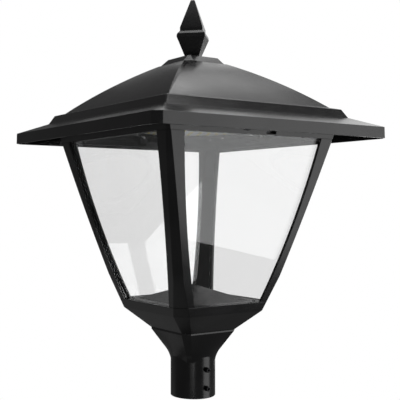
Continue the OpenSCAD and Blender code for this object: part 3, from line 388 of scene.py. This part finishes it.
RING_Z = NECK_TOP + 34.0
RING_HALF, RING_CHAMFER = 92.5, 18.0
TOP_HALF, TOP_CHAMFER = 167.0, 5.2
BEND_Z, BEND_CHAMFER = RING_Z + 57.0, 11.0
BOW_R = 4000.0
BOW = arc_centre((RING_HALF, RING_Z), (TOP_HALF, HEAD_Z), BOW_R)
CAGE_WALL, POST_DEPTH, CORNER_BOW = 4.0, 9.0, 1.5
WINDOW_R, WINDOW_FOOT_HALF, WINDOW_HEAD_HALF = 1400.0, 68.0, 137.0
WINDOW = arc_centre((WINDOW_FOOT_HALF, SILL_Z), (WINDOW_HEAD_HALF, HEAD_Z), WINDOW_R)


def cage_half(z):
    """Half width of the cage's faces, which follow one long bow"""
    return arc_reach(BOW, BOW_R, z)


def post_diagonal(z):
    """Distance of the posts' chamfers from the axis: straight up to the bend, then slightly bowed"""
    knee = diagonal(cage_half(BEND_Z), BEND_CHAMFER)
    if z < BEND_Z:
        foot = diagonal(RING_HALF, RING_CHAMFER)
        return foot + (knee - foot) * (z - RING_Z) / (BEND_Z - RING_Z)
    top = diagonal(TOP_HALF, TOP_CHAMFER)
    t = (z - BEND_Z) / (HEAD_Z - BEND_Z)
    return knee + (top - knee) * t + max(0.0, 4 * CORNER_BOW * t * (1 - t))


def window_half(z):
    """Half width of the window between two posts"""
    return arc_reach(WINDOW, WINDOW_R, z)


def cage_ring(z, inward=0.0, corner_inward=0.0):
    """The cage's plan at a height, moved inwards at its faces and at its corners"""
    half = cage_half(z) - inward
    return corner_ring(half, 2 * half - ROOT2 * (post_diagonal(z) - corner_inward), z)


# castings


# Half widths and heights above the eave, from the fascia's top to the roof's foot, with their corner cuts
FASCIA_H, FASCIA_DRAFT = 18.0, 0.4
SKIRT_HALF, SKIRT_H = 183.3, 34.5
BAND_HALF, BAND_H, BAND_CUT = 175.5, 48.5, 2.2
ROOF_HALF, ROOF_H, ROOF_CUT = 161.5, 52.1, 1.5
CROWN_HALF, CROWN_CUT = 46.0, 8.5
ROOF_R, HIP_R = 540.0, 850.0
ROOF_STEPS = 26
BOSS_PLACE, BOSS_R, BOSS_Z = 125.0, 7.0, (460.0, 503.0)


def hood_rings(wall):
    """Rings of the hood's outer face, or of its inner face when a wall is given"""
    eave, cut = size_of("eave_half"), size_of("eave_chamfer")
    face = [(eave, HOOD_FOOT), (eave - FASCIA_DRAFT, HOOD_FOOT + FASCIA_H), (SKIRT_HALF, HOOD_FOOT + SKIRT_H),
            (BAND_HALF, HOOD_FOOT + BAND_H), (ROOF_HALF, HOOD_FOOT + ROOF_H)]
    corner = [(diagonal(h, c), z) for (h, z), c in zip(face, (cut, cut, BAND_CUT, BAND_CUT, ROOF_CUT))]
    face_arc = arc_centre(face[-1], (CROWN_HALF, HOOD_TOP), ROOF_R)
    corner_arc = arc_centre(corner[-1], (diagonal(CROWN_HALF, CROWN_CUT), HOOD_TOP), HIP_R)
    inner_face, inner_corner = inset(face, wall), inset(corner, wall)
    rings = [corner_ring(h, 2 * h - ROOT2 * d, z) for (h, z), (d, _) in zip(inner_face, inner_corner)]
    for z in levels(inner_face[-1][1], HOOD_TOP - wall, ROOF_STEPS)[1:]:
        half = arc_reach(face_arc, ROOF_R - wall, z)
        rings.append(corner_ring(half, 2 * half - ROOT2 * arc_reach(corner_arc, HIP_R - wall, z), z))
    return rings


def inset(points, wall):
    """An open outline moved inwards by a wall, with its corners kept"""
    if wall == 0:
        return list(points)
    pts = [Vector(p) for p in points]
    ways = [(b - a).normalized() for a, b in zip(pts, pts[1:])]
    sides = [Vector((-w.y, w.x)) for w in ways]
    moved = [pts[0] + sides[0] * wall]
    for i in range(1, len(pts) - 1):
        p, q = pts[i] + sides[i - 1] * wall, pts[i] + sides[i] * wall
        u, v = ways[i - 1], ways[i]
        gap = q - p
        moved.append(p + u * ((gap.x * v.y - gap.y * v.x) / (u.x * v.y - u.y * v.x)))
    moved.append(pts[-1] + sides[-1] * wall)
    return [tuple(p) for p in moved]


def build_hood():
    wall = size_of("hood_wall")
    outer, inner = hood_rings(0.0), hood_rings(wall)
    inner_half = inner[0][0][0]
    inner_diagonal = diagonal(size_of("eave_half"), size_of("eave_chamfer")) - wall
    inner[0] = corner_ring(inner_half, 2 * inner_half - ROOT2 * inner_diagonal, HOOD_FOOT)
    bm = bmesh.new()
    loft(bm, list(reversed(inner)) + outer)
    for x in (-BOSS_PLACE, BOSS_PLACE):
        for y in (-BOSS_PLACE, BOSS_PLACE):
            add_turned(bm, [(BOSS_R, z) for z in BOSS_Z], 24, Matrix.Translation((x, y, 0)))
    hood = plain_object("hood_shell", bm, finish_of("black_coat"))
    round_edges(hood, size_of("edge_round") * 1.4, 17.0)
    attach(hood, "hood_assembly")
    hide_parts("hood")


CAP_FOOT_HALF, CAP_FOOT_CUT = 44.7, 12.5
CAP_TOP_HALF, CAP_TOP_CUT = 31.9, 3.8
STEM_R, STEM_H, STEM_LAP = 12.0, 3.6, 0.5
# The spear's half diagonals, and their heights above the stem
SPEAR = ((17.3, 0.0), (34.5, 32.0), (33.3, 37.0), (27.3, 42.0), (27.3, 48.0))
SPEAR_TIP = 4.5


def build_cap_and_finial():
    bm = bmesh.new()
    loft(bm, [corner_ring(CAP_FOOT_HALF, CAP_FOOT_CUT, CAP_FOOT),
              corner_ring(CAP_TOP_HALF, CAP_TOP_CUT, CAP_TOP)])
    cap = plain_object("cap_casting", bm, finish_of("black_coat"))
    round_edges(cap, size_of("edge_round"))
    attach(cap, "hood_assembly")
    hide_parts("cap_plate")

    foot = CAP_TOP + STEM_H
    outline = [(w, foot + rise) for w, rise in SPEAR] + [(SPEAR_TIP, FINIAL_TOP)]
    bm = bmesh.new()
    loft(bm, [[(w, 0, z), (0, w, z), (-w, 0, z), (0, -w, z)] for w, z in outline])
    add_turned(bm, [(STEM_R, CAP_TOP), (STEM_R, foot + STEM_LAP)], 48)
    spear = plain_object("spear_finial", bm, finish_of("black_coat"))
    round_edges(spear, size_of("edge_round") * 0.8)
    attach(spear, "hood_assembly")
    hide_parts("finial")


COLLAR_R, COLLAR_CHAMFER = 38.0, 0.7
# Heights of the collar's plain rings, and the stretch of close rings where the flare grows out of it
COLLAR_RINGS, COLLAR_IN_FLARE = (24.0, 48.0, 54.0), (58.0, 98.0)
SOCKET_R, SOCKET_DEPTH, WIREWAY_R = 31.0, 85.0, 20.0
# How far a cutter runs past what it cuts
CUT_PAST = 5.0
SET_SCREW_HEIGHTS, SET_SCREW_HOLE_R = (17.0, 48.0), 4.05
# The cone that breaks each hole's edge: its wide radius, and its ends inside and outside the collar's face
CONE_R, CONE_IN, CONE_OUT = 5.4, 0.6, 1.0
RIM_Z = NECK_TOP - 2.5
FLARE_R = 45.0
NECK_HALF, NECK_CHAMFER = 55.5, 11.0
NECK_EDGE = math.hypot(NECK_HALF, NECK_HALF - NECK_CHAMFER)
EDGE_TURN = math.atan2(NECK_HALF - NECK_CHAMFER, NECK_HALF)
WAIST = 37.2
FACE_FOOT, EDGE_FOOT, FLARE_LOW = 60.6, 52.0, 59.6


def flare_reach(z, foot, reach):
    """Width of a hollow flare: an arc that turns straight and ends at reach below the neck's rim"""
    wide, high = reach - WAIST, RIM_Z - foot
    lean = math.atan2(high, FLARE_R - wide) - math.acos(FLARE_R / math.hypot(FLARE_R - wide, high))
    up = min(max(z - foot, 0.0), high)
    if up < FLARE_R * math.sin(lean):
        return WAIST + FLARE_R - math.sqrt(FLARE_R ** 2 - up ** 2)
    return WAIST + FLARE_R * (1 - math.cos(lean)) + (up - FLARE_R * math.sin(lean)) * math.tan(lean)


def neck_ring(z):
    """Points round the flare: faces that go from round to flat, and corners with a flat chamfer"""
    face = flare_reach(z, FACE_FOOT, NECK_HALF)
    edge = flare_reach(z, EDGE_FOOT, NECK_EDGE)
    eighth = []
    for t in (EDGE_TURN * i / 8 for i in range(9)):
        share = (1 / math.cos(t) - 1) / (1 / math.cos(EDGE_TURN) - 1)
        eighth.append((t, face + (edge - face) * share))
    middle = (EDGE_TURN + math.pi / 4) / 2
    for t in (middle, math.pi / 4):
        eighth.append((t, edge * math.cos(math.pi / 4 - EDGE_TURN) / math.cos(math.pi / 4 - t)))
    quarter = eighth + [(math.pi / 2 - t, r) for t, r in reversed(eighth[1:-1])]
    return [(r * math.cos(t + q), r * math.sin(t + q), z)
            for q in (i * math.pi / 2 for i in range(4)) for t, r in quarter]


def build_neck():
    bm = bmesh.new()
    loft(bm, [neck_ring(z) for z in levels(FLARE_LOW, RIM_Z, 30) + [NECK_TOP]])
    neck = plain_object("neck_and_collar", bm, finish_of("black_coat"))
    collar = bmesh.new()
    heights = [COLLAR_CHAMFER, *COLLAR_RINGS, *levels(*COLLAR_IN_FLARE, 20)]
    profile = [(COLLAR_R - COLLAR_CHAMFER, 0.0)] + [(COLLAR_R, z) for z in heights]
    add_turned(collar, profile, 96)
    cut_with(neck, collar, "UNION")
    bores = bmesh.new()
    add_turned(bores, [(SOCKET_R, -CUT_PAST), (SOCKET_R, SOCKET_DEPTH), (WIREWAY_R, SOCKET_DEPTH),
                       (WIREWAY_R, NECK_TOP + CUT_PAST)], 96)
    cut_with(neck, bores)
    holes = bmesh.new()
    inner, outer = COLLAR_R - CONE_IN, COLLAR_R + CONE_OUT
    for z in SET_SCREW_HEIGHTS:
        across = Matrix.Translation((0, 0, z)) @ Matrix.Rotation(math.pi / 2, 4, "X")
        add_turned(holes, [(CONE_R, -outer), (SET_SCREW_HOLE_R, -inner),
                           (SET_SCREW_HOLE_R, inner), (CONE_R, outer)], 40, across)
    cut_with(neck, holes)
    for poly in neck.data.polygons:
        poly.use_smooth = True
    neck.data.set_sharp_from_angle(angle=math.radians(13.0))
    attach(neck, "lantern")
    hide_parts("neck_casting")


def cut_with(obj, cutter_bm, operation="DIFFERENCE"):
    """Cuts a closed mesh with another one, or joins them"""
    cutter = plain_object("cutter", cutter_bm, obj.data.materials[0])
    mod = obj.modifiers.new("cut", "BOOLEAN")
    mod.operation = operation
    mod.solver = "EXACT"
    mod.object = cutter
    apply_modifiers(obj)
    bpy.data.objects.remove(cutter)


PAN_HALF, PAN_CHAMFER = 55.3, 10.4
PAN_FLOOR, PAN_FLOOR_HALF, PAN_FLOOR_CHAMFER = 4.5, 54.3, 8.4
PAN_INNER_HALF, PAN_INNER_CHAMFER, PAN_INNER_DROP = 87.1, 16.5, 0.3


def build_base_pan():
    outer = [corner_ring(PAN_HALF, PAN_CHAMFER, NECK_TOP)]
    outer += [cage_ring(z) for z in levels(RING_Z, SILL_Z, 4)]
    inner = [cage_ring(z, CAGE_WALL, POST_DEPTH) for z in levels(SILL_Z, RING_Z, 2)]
    inner += [corner_ring(PAN_INNER_HALF, PAN_INNER_CHAMFER, RING_Z - PAN_INNER_DROP),
              corner_ring(PAN_FLOOR_HALF, PAN_FLOOR_CHAMFER, NECK_TOP + PAN_FLOOR)]
    bm = bmesh.new()
    loft(bm, outer + inner)
    pan = plain_object("base_pan_casting", bm, finish_of("black_coat"))
    wireway = bmesh.new()
    add_turned(wireway, [(WIREWAY_R, NECK_TOP - CUT_PAST), (WIREWAY_R, NECK_TOP + PAN_FLOOR + CUT_PAST)], 64)
    cut_with(pan, wireway)
    round_edges(pan, size_of("edge_round"), 20.0)
    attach(pan, "lantern")
    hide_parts("base_pan")


def post_section(z):
    """Plan of the post in the +X +Y corner: a folded wall with a web behind its chamfer"""
    half, reach = cage_half(z), window_half(z)
    chamfer = 2 * half - ROOT2 * post_diagonal(z)
    inner = half - CAGE_WALL
    web = ROOT2 * (post_diagonal(z) - POST_DEPTH) - inner
    return [(half, reach, z), (half, half - chamfer, z), (half - chamfer, half, z), (reach, half, z),
            (reach, inner, z), (web, inner, z), (inner, web, z), (inner, reach, z)]


POST_TURNS = {"corner_post_front_left": 180, "corner_post_front_right": 270,
              "corner_post_rear_right": 0, "corner_post_rear_left": 90}


def build_posts():
    for node, turn in POST_TURNS.items():
        bm = bmesh.new()
        heights = levels(SILL_Z, BEND_Z, 3) + levels(BEND_Z, HEAD_Z, 14)[1:]
        loft(bm, [post_section(z) for z in heights])
        bmesh.ops.transform(bm, matrix=Matrix.Rotation(math.radians(turn), 4, "Z"), verts=bm.verts)
        post = plain_object(node.replace("corner_", "") + "_casting", bm, finish_of("black_coat"))
        round_edges(post, size_of("edge_round"), 20.0)
        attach(post, "lantern")
        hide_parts(node)


# panes

PANE_TURNS = {"pane_front": 0, "pane_right": 90, "pane_rear": 180, "pane_left": 270}
# How far a pane lies behind the cage's face, and how much of it the sill, the top frame and the posts hide
PANE_IN, PANE_BELOW, PANE_ABOVE, PANE_LAP = 5.3, 8.0, 3.7, 3.4


def build_panes():
    low, high = SILL_Z - PANE_BELOW, HEAD_Z + PANE_ABOVE
    for node, turn in PANE_TURNS.items():
        bm = bmesh.new()
        rings = []
        for z in levels(low, high, 30):
            half = window_half(z) + PANE_LAP
            out = -(cage_half(z) - PANE_IN)
            back = out + size_of("pane_thickness")
            rings.append([(-half, out, z), (0.0, out, z), (half, out, z),
                          (half, back, z), (0.0, back, z), (-half, back, z)])
        loft(bm, rings)
        bmesh.ops.transform(bm, matrix=Matrix.Rotation(math.radians(turn), 4, "Z"), verts=bm.verts)
        pane = plain_object(node + "_sheet", bm, finish_of("clear_pane"))
        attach(pane, "lantern")
        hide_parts(node)


# repeated small pieces


def islands(node):
    """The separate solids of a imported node, each as an array of its points in metres"""
    mesh = frame["nodes"][node].data
    bm = bmesh.new()
    bm.from_mesh(mesh)
    bmesh.ops.remove_doubles(bm, verts=bm.verts, dist=WELD)
    bm.verts.ensure_lookup_table()
    seen, found = set(), []
    for start in bm.verts:
        if start.index in seen:
            continue
        seen.add(start.index)
        queue, group = [start], []
        while queue:
            v = queue.pop()
            group.append(tuple(v.co))
            for edge in v.link_edges:
                other = edge.other_vert(v)
                if other.index not in seen:
                    seen.add(other.index)
                    queue.append(other)
        found.append(np.array(group))
    bm.free()
    return found


def screw_lines(node):
    """For each screw of a node: the centre of its head's top, and the direction out of the head"""
    lines = []
    for pts in islands(node):
        middle = (pts.max(axis=0) + pts.min(axis=0)) / 2
        values, ways = np.linalg.eigh(np.cov((pts - pts.mean(axis=0)).T))
        odd = int(np.argmax([abs(values[i] - np.median(np.delete(values, i))) for i in range(3)]))
        way = ways[:, odd]
        along = (pts - middle) @ way
        across = np.linalg.norm((pts - middle) - np.outer(along, way), axis=1)
        if across[along > 0.99 * along.max()].max() < across[along < 0.99 * along.min()].max():
            way, along = -way, -along
        base = (pts - np.outer(along, way)).mean(axis=0)
        lines.append((tuple(base + way * along.max()), tuple(way)))
    return lines


def screw_template(head_r, head_h, shank_r, length):
    """A pan-head screw with a hexagon recess, its head's top at the origin and its shank along -Z"""
    key = head_r * 0.42
    recess = ((key * 0.98, -head_h * 0.55), (key, 0.0))
    head = ((head_r * 0.72, 0.0), (head_r * 0.93, -head_h * 0.22), (head_r, -head_h * 0.6), (head_r, -head_h))
    shank = ((shank_r, -head_h), (shank_r, -length * 0.96), (shank_r * 0.8, -length))
    rings = []
    for radius, z in recess + head + shank:
        ring = []
        for a in (2 * math.pi * i / 24 for i in range(24)):
            r = radius
            if radius <= key:
                r = radius * math.cos(math.pi / 6) / math.cos((a % (math.pi / 3)) - math.pi / 6)
            ring.append((r * math.cos(a), r * math.sin(a), z))
        rings.append(ring)
    bm = bmesh.new()
    loft(bm, rings)
    return plain_object("screw_template", bm, finish_of("zinc_steel"))


def placing_tree(name, template, material):
    """A node tree that sets a template on each point, turned along the point's stored direction"""
    tree = bpy.data.node_groups.new(name, "GeometryNodeTree")
    tree.interface.new_socket("Geometry", in_out="INPUT", socket_type="NodeSocketGeometry")
    size = tree.interface.new_socket("Size", in_out="INPUT", socket_type="NodeSocketFloat")
    size.default_value = 1.0
    tree.interface.new_socket("Geometry", in_out="OUTPUT", socket_type="NodeSocketGeometry")
    new, link = tree.nodes.new, tree.links.new
    start, end = new("NodeGroupInput"), new("NodeGroupOutput")
    source = new("GeometryNodeObjectInfo")
    source.inputs["Object"].default_value = template
    way = new("GeometryNodeInputNamedAttribute")
    way.data_type = "FLOAT_VECTOR"
    way.inputs["Name"].default_value = "way"
    turn = new("FunctionNodeAlignRotationToVector")
    turn.axis = "Z"
    place = new("GeometryNodeInstanceOnPoints")
    solid = new("GeometryNodeRealizeInstances")
    paint = new("GeometryNodeSetMaterial")
    paint.inputs["Material"].default_value = material
    link(way.outputs["Attribute"], turn.inputs["Vector"])
    link(start.outputs["Geometry"], place.inputs["Points"])
    link(source.outputs["Geometry"], place.inputs["Instance"])
    link(turn.outputs["Rotation"], place.inputs["Rotation"])
    link(start.outputs["Size"], place.inputs["Scale"])
    link(place.outputs["Instances"], solid.inputs["Geometry"])
    link(solid.outputs["Geometry"], paint.inputs["Geometry"])
    link(paint.outputs["Geometry"], end.inputs["Geometry"])
    return tree, size.identifier


def place_on_points(name, lines, template, material, body, node):
    """Sets a template on each line's point with Geometry Nodes, and keeps the result as a plain mesh"""
    mesh = bpy.data.meshes.new(name)
    mesh.from_pydata([p for p, _ in lines], [], [])
    ways = mesh.attributes.new("way", "FLOAT_VECTOR", "POINT")
    ways.data.foreach_set("vector", [c for _, w in lines for c in w])
    obj = bpy.data.objects.new(name, mesh)
    bpy.context.scene.collection.objects.link(obj)
    tree, size = placing_tree(name + "_tree", template, material)
    mod = obj.modifiers.new("place", "NODES")
    mod.node_group = tree
    mod[size] = 1.0
    apply_modifiers(obj)
    bpy.data.objects.remove(template)
    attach(obj, body)
    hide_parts(node)


# Each set of screws: its name, body and node, then head radius, head height, shank radius and length
SCREW_SETS = (
    ("small_screws_lantern", "lantern", "cover_screws", 2.7, 1.8, 1.5, 12.8),
    ("clip_screw_set", "lantern", "clip_screws", 2.7, 1.8, 1.5, 18.0),
    ("frame_screw_set", "lantern", "post_screws_upper", 3.6, 2.4, 2.0, 33.5),
    ("lens_ring_screws", "hood_assembly", "lens_screws", 2.7, 1.2, 1.5, 7.7),
    ("gear_screws", "hood_assembly", "driver_screws", 2.7, 1.8, 1.5, 6.8),
    ("leaf_screw_set", "hood_assembly", "leaf_screws", 2.7, 1.8, 1.5, 7.8),
    ("keeper_screw_set", "hood_assembly", "keeper_screws", 2.7, 1.8, 1.5, 6.8),
    ("tray_bolts", "hood_assembly", "tray_screws", 5.4, 3.0, 3.0, 18.0),
)


def build_screws():
    steel = finish_of("zinc_steel")
    for name, body, node, *sizes_mm in SCREW_SETS:
        template = screw_template(*sizes_mm)
        place_on_points(name, screw_lines(node), template, steel, body, node)


# The package's reach and height, from its square frame inwards over its round dome
LED_FRAME = ((2.5, 0.0), (2.5, 0.55), (2.35, 0.7))
LED_DOME = ((2.05, 0.7), (1.6, 1.05), (0.9, 1.3), (0.3, 1.38))


def led_template():
    """One LED package: a moulded frame with a domed phosphor, its foot at the origin"""
    rings = []
    for reach, z in LED_FRAME + LED_DOME:
        ring = []
        for a in (2 * math.pi * (i + 0.5) / 16 for i in range(16)):
            r = reach
            if (reach, z) in LED_FRAME:
                r = reach / max(abs(math.cos(a)), abs(math.sin(a)))
            ring.append((r * math.cos(a), r * math.sin(a), z))
        rings.append(ring)
    bm = bmesh.new()
    loft(bm, rings)
    return plain_object("led_template", bm, finish_of("led_phosphor"), 40.0)


def build_leds():
    board_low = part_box("led_board")[0][2]
    lines = []
    for pts in islands("led_packages"):
        middle = (pts.max(axis=0) + pts.min(axis=0)) / 2
        lines.append(((middle[0], middle[1], board_low), (0.0, 0.0, -1.0)))
    place_on_points("led_package_rings", lines, led_template(), finish_of("led_phosphor"), "hood_assembly",
                    "led_packages")


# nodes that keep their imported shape


DARK_SCREWS = ("set_screw", "latch_guide")


def dress_nodes():
    """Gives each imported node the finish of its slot, and the set screws and the guide screw a dark one"""
    slots = {row["node"]: row["material_slot"] for row in frame["record"]["subparts"]}
    for node, obj in frame["nodes"].items():
        material = finish_of("black_steel" if node.startswith(DARK_SCREWS) else slots[node])
        if not obj.material_slots:
            obj.data.materials.append(material)
        for place in obj.material_slots:
            place.material = material


# studio


# Soft panels: azimuth and elevation in degrees, width and height in metres, power in watts
PANELS = {
    "key": (308.0, -7.0, (1.5, 1.85), 14.4),
    "key_upper": (312.0, 27.0, (1.3, 0.9), 9.8),
    "front_top": (300.0, 46.0, (0.9, 0.9), 14.0),
    "front_left": (216.0, 60.0, (0.6, 0.6), 1.4),
    "crown": (42.0, 66.0, (1.0, 1.0), 6.7),
    "zenith": (110.0, 84.0, (0.5, 0.5), 2.6),
    "rear_top": (20.0, 55.0, (1.0, 1.0), 2.8),
    "rear_high": (40.0, 45.0, (1.1, 1.1), 1.4),
    "rear_side": (52.0, 36.0, (0.8, 0.8), 1.0),
    "rear_right": (18.0, 26.0, (1.1, 1.0), 2.1),
    "rear_middle": (40.0, 22.0, (1.1, 1.0), 2.4),
    "rear_low": (26.0, -6.0, (0.8, 1.0), 3.8),
    "rear_sill": (53.0, 7.0, (1.0, 0.4), 0.6),
    "rear_left": (63.0, 19.0, (0.6, 0.6), 0.28),
    "left_strip": (237.5, 0.0, (0.2, 1.6), 3.6),
    "left_fill": (226.0, -5.0, (0.3, 1.2), 1.2),
    "left_low": (121.0, -35.0, (1.0, 1.2), 0.5),
    "under_left": (180.0, -50.0, (1.4, 1.4), 0.9),
}
PANEL_DISTANCE = 2.4
LANTERN_MIDDLE = Vector((0.0, 0.0, 0.38))
FLOOR_Z, FLOOR_RADIUS, BACKDROP_RADIUS = -0.9, 9.0, 9.2
ROOM_STRENGTH = 0.113
CAMERA_PLACE = (-0.8154, -1.1089, 0.3256)
CAMERA_TURN = 33.34
CAMERA_LENS = 72.42
CAMERA_SHIFT = (0.1228, 0.00865)


def soft_panel(name, azimuth, elevation, size, power):
    """A soft panel that faces the lantern's middle, placed by its direction"""
    light = bpy.data.lights.new(name, "AREA")
    light.shape = "RECTANGLE"
    light.size, light.size_y = size
    light.energy = power
    a, e = math.radians(azimuth), math.radians(elevation)
    away = Vector((math.cos(a) * math.cos(e), math.sin(a) * math.cos(e), math.sin(e)))
    obj = bpy.data.objects.new(name, light)
    obj.location = LANTERN_MIDDLE + away * PANEL_DISTANCE
    obj.rotation_euler = (-away).to_track_quat("-Z", "Y").to_euler()
    obj.visible_camera = False
    bpy.context.scene.collection.objects.link(obj)


def plain_emission(name, colour, strength):
    """An even glow for the floor and the backdrop"""
    mat = bpy.data.materials.new(name)
    mat.use_nodes = True
    tree = mat.node_tree
    tree.nodes.clear()
    out = tree.nodes.new("ShaderNodeOutputMaterial")
    glow = tree.nodes.new("ShaderNodeEmission")
    glow.inputs["Color"].default_value = (*colour, 1.0)
    glow.inputs["Strength"].default_value = strength
    tree.links.new(glow.outputs["Emission"], out.inputs["Surface"])
    return mat


def build_backdrop():
    """A pale floor and a pale dome, seen only by the camera"""
    pale = plain_emission("pale_backdrop", colour_of("backdrop"), 1.0)
    bm = bmesh.new()
    bmesh.ops.create_circle(bm, cap_ends=True, segments=96, radius=FLOOR_RADIUS)
    bmesh.ops.translate(bm, verts=bm.verts, vec=(0, 0, FLOOR_Z))
    floor = plain_object("floor", bm, pale)
    bm = bmesh.new()
    bmesh.ops.create_uvsphere(bm, u_segments=64, v_segments=32, radius=BACKDROP_RADIUS)
    backdrop = plain_object("backdrop", bm, pale)
    for piece in (floor, backdrop):
        piece.visible_diffuse = False
        piece.visible_glossy = False
        piece.visible_shadow = False


def build_lights():
    """The soft panels, and a dim even room around them"""
    world = bpy.data.worlds.new("studio")
    bpy.context.scene.world = world
    world.use_nodes = True
    room = world.node_tree.nodes["Background"]
    room.inputs["Color"].default_value = (1.0, 1.0, 1.0, 1.0)
    room.inputs["Strength"].default_value = ROOM_STRENGTH
    for name, (azimuth, elevation, size, power) in PANELS.items():
        soft_panel(name + "_panel", azimuth, elevation, size, power)


def build_camera():
    """A level camera at the photograph's angle"""
    data = bpy.data.cameras.new("camera")
    data.sensor_width = 36.0
    data.lens = CAMERA_LENS
    data.shift_x, data.shift_y = CAMERA_SHIFT
    camera = bpy.data.objects.new("camera", data)
    camera.location = CAMERA_PLACE
    camera.rotation_euler = (math.pi / 2, 0.0, -math.radians(CAMERA_TURN))
    bpy.context.scene.collection.objects.link(camera)
    bpy.context.scene.camera = camera


def build_stage():
    bpy.context.scene.view_settings.view_transform = "Standard"
    build_backdrop()
    build_lights()
    build_camera()


# operators and panel


class LANTERN_OT_dress_nodes(bpy.types.Operator):
    """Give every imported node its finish"""

    bl_idname = "lantern.dress_nodes"
    bl_label = "Finish the packed nodes"

    def execute(self, context):
        dress_nodes()
        return {"FINISHED"}


class LANTERN_OT_build_neck(bpy.types.Operator):
    """Build the flared neck and its collar"""

    bl_idname = "lantern.build_neck"
    bl_label = "Neck and collar"

    def execute(self, context):
        build_neck()
        return {"FINISHED"}


class LANTERN_OT_build_base_pan(bpy.types.Operator):
    """Build the base pan and its bowed ring"""

    bl_idname = "lantern.build_base_pan"
    bl_label = "Base pan"

    def execute(self, context):
        build_base_pan()
        return {"FINISHED"}


class LANTERN_OT_build_posts(bpy.types.Operator):
    """Build the four chamfered corner posts"""

    bl_idname = "lantern.build_posts"
    bl_label = "Corner posts"

    def execute(self, context):
        build_posts()
        return {"FINISHED"}


class LANTERN_OT_build_panes(bpy.types.Operator):
    """Build the four bowed clear panes"""

    bl_idname = "lantern.build_panes"
    bl_label = "Panes"

    def execute(self, context):
        build_panes()
        return {"FINISHED"}


class LANTERN_OT_build_hood(bpy.types.Operator):
    """Build the hood's shell"""

    bl_idname = "lantern.build_hood"
    bl_label = "Hood"

    def execute(self, context):
        build_hood()
        return {"FINISHED"}


class LANTERN_OT_build_cap_and_finial(bpy.types.Operator):
    """Build the cap plate and the spear finial"""

    bl_idname = "lantern.build_cap_and_finial"
    bl_label = "Cap and finial"

    def execute(self, context):
        build_cap_and_finial()
        return {"FINISHED"}


class LANTERN_OT_build_screws(bpy.types.Operator):
    """Set the screws with Geometry Nodes"""

    bl_idname = "lantern.build_screws"
    bl_label = "Screws"

    def execute(self, context):
        build_screws()
        return {"FINISHED"}


class LANTERN_OT_build_leds(bpy.types.Operator):
    """Set the LED packages with Geometry Nodes"""

    bl_idname = "lantern.build_leds"
    bl_label = "LED packages"

    def execute(self, context):
        build_leds()
        return {"FINISHED"}


class LANTERN_OT_build_stage(bpy.types.Operator):
    """Build the floor, the backdrop, the lights and the camera"""

    bl_idname = "lantern.build_stage"
    bl_label = "Stage"

    def execute(self, context):
        build_stage()
        return {"FINISHED"}


class LANTERN_PT_tools(bpy.types.Panel):
    """Lists the lantern's sizes, colours and building steps"""

    bl_label = "Post-top lantern"
    bl_idname = "LANTERN_PT_tools"
    bl_space_type = "VIEW_3D"
    bl_region_type = "UI"
    bl_category = "Lantern"

    def draw(self, context):
        for group in (context.scene.lantern_sizes, context.scene.lantern_colours):
            box = self.layout.box()
            for name in group.bl_rna.properties.keys():
                if name not in ("rna_type", "name"):
                    box.prop(group, name)
        for step in STEPS:
            self.layout.operator(step.bl_idname)


STEPS = (
    LANTERN_OT_dress_nodes,
    LANTERN_OT_build_neck,
    LANTERN_OT_build_base_pan,
    LANTERN_OT_build_posts,
    LANTERN_OT_build_panes,
    LANTERN_OT_build_hood,
    LANTERN_OT_build_cap_and_finial,
    LANTERN_OT_build_screws,
    LANTERN_OT_build_leds,
    LANTERN_OT_build_stage,
)
CLASSES = (LanternSizes, LanternColours, *STEPS, LANTERN_PT_tools)


def register():
    for cls in CLASSES:
        bpy.utils.register_class(cls)
    bpy.types.Scene.lantern_sizes = bpy.props.PointerProperty(type=LanternSizes)
    bpy.types.Scene.lantern_colours = bpy.props.PointerProperty(type=LanternColours)


def unregister():
    del bpy.types.Scene.lantern_colours
    del bpy.types.Scene.lantern_sizes
    for cls in reversed(CLASSES):
        bpy.utils.unregister_class(cls)


def main():
    register()
    for step in STEPS:
        getattr(bpy.ops.lantern, step.bl_idname.split(".")[1])()


if __name__ == "__main__":
    main()
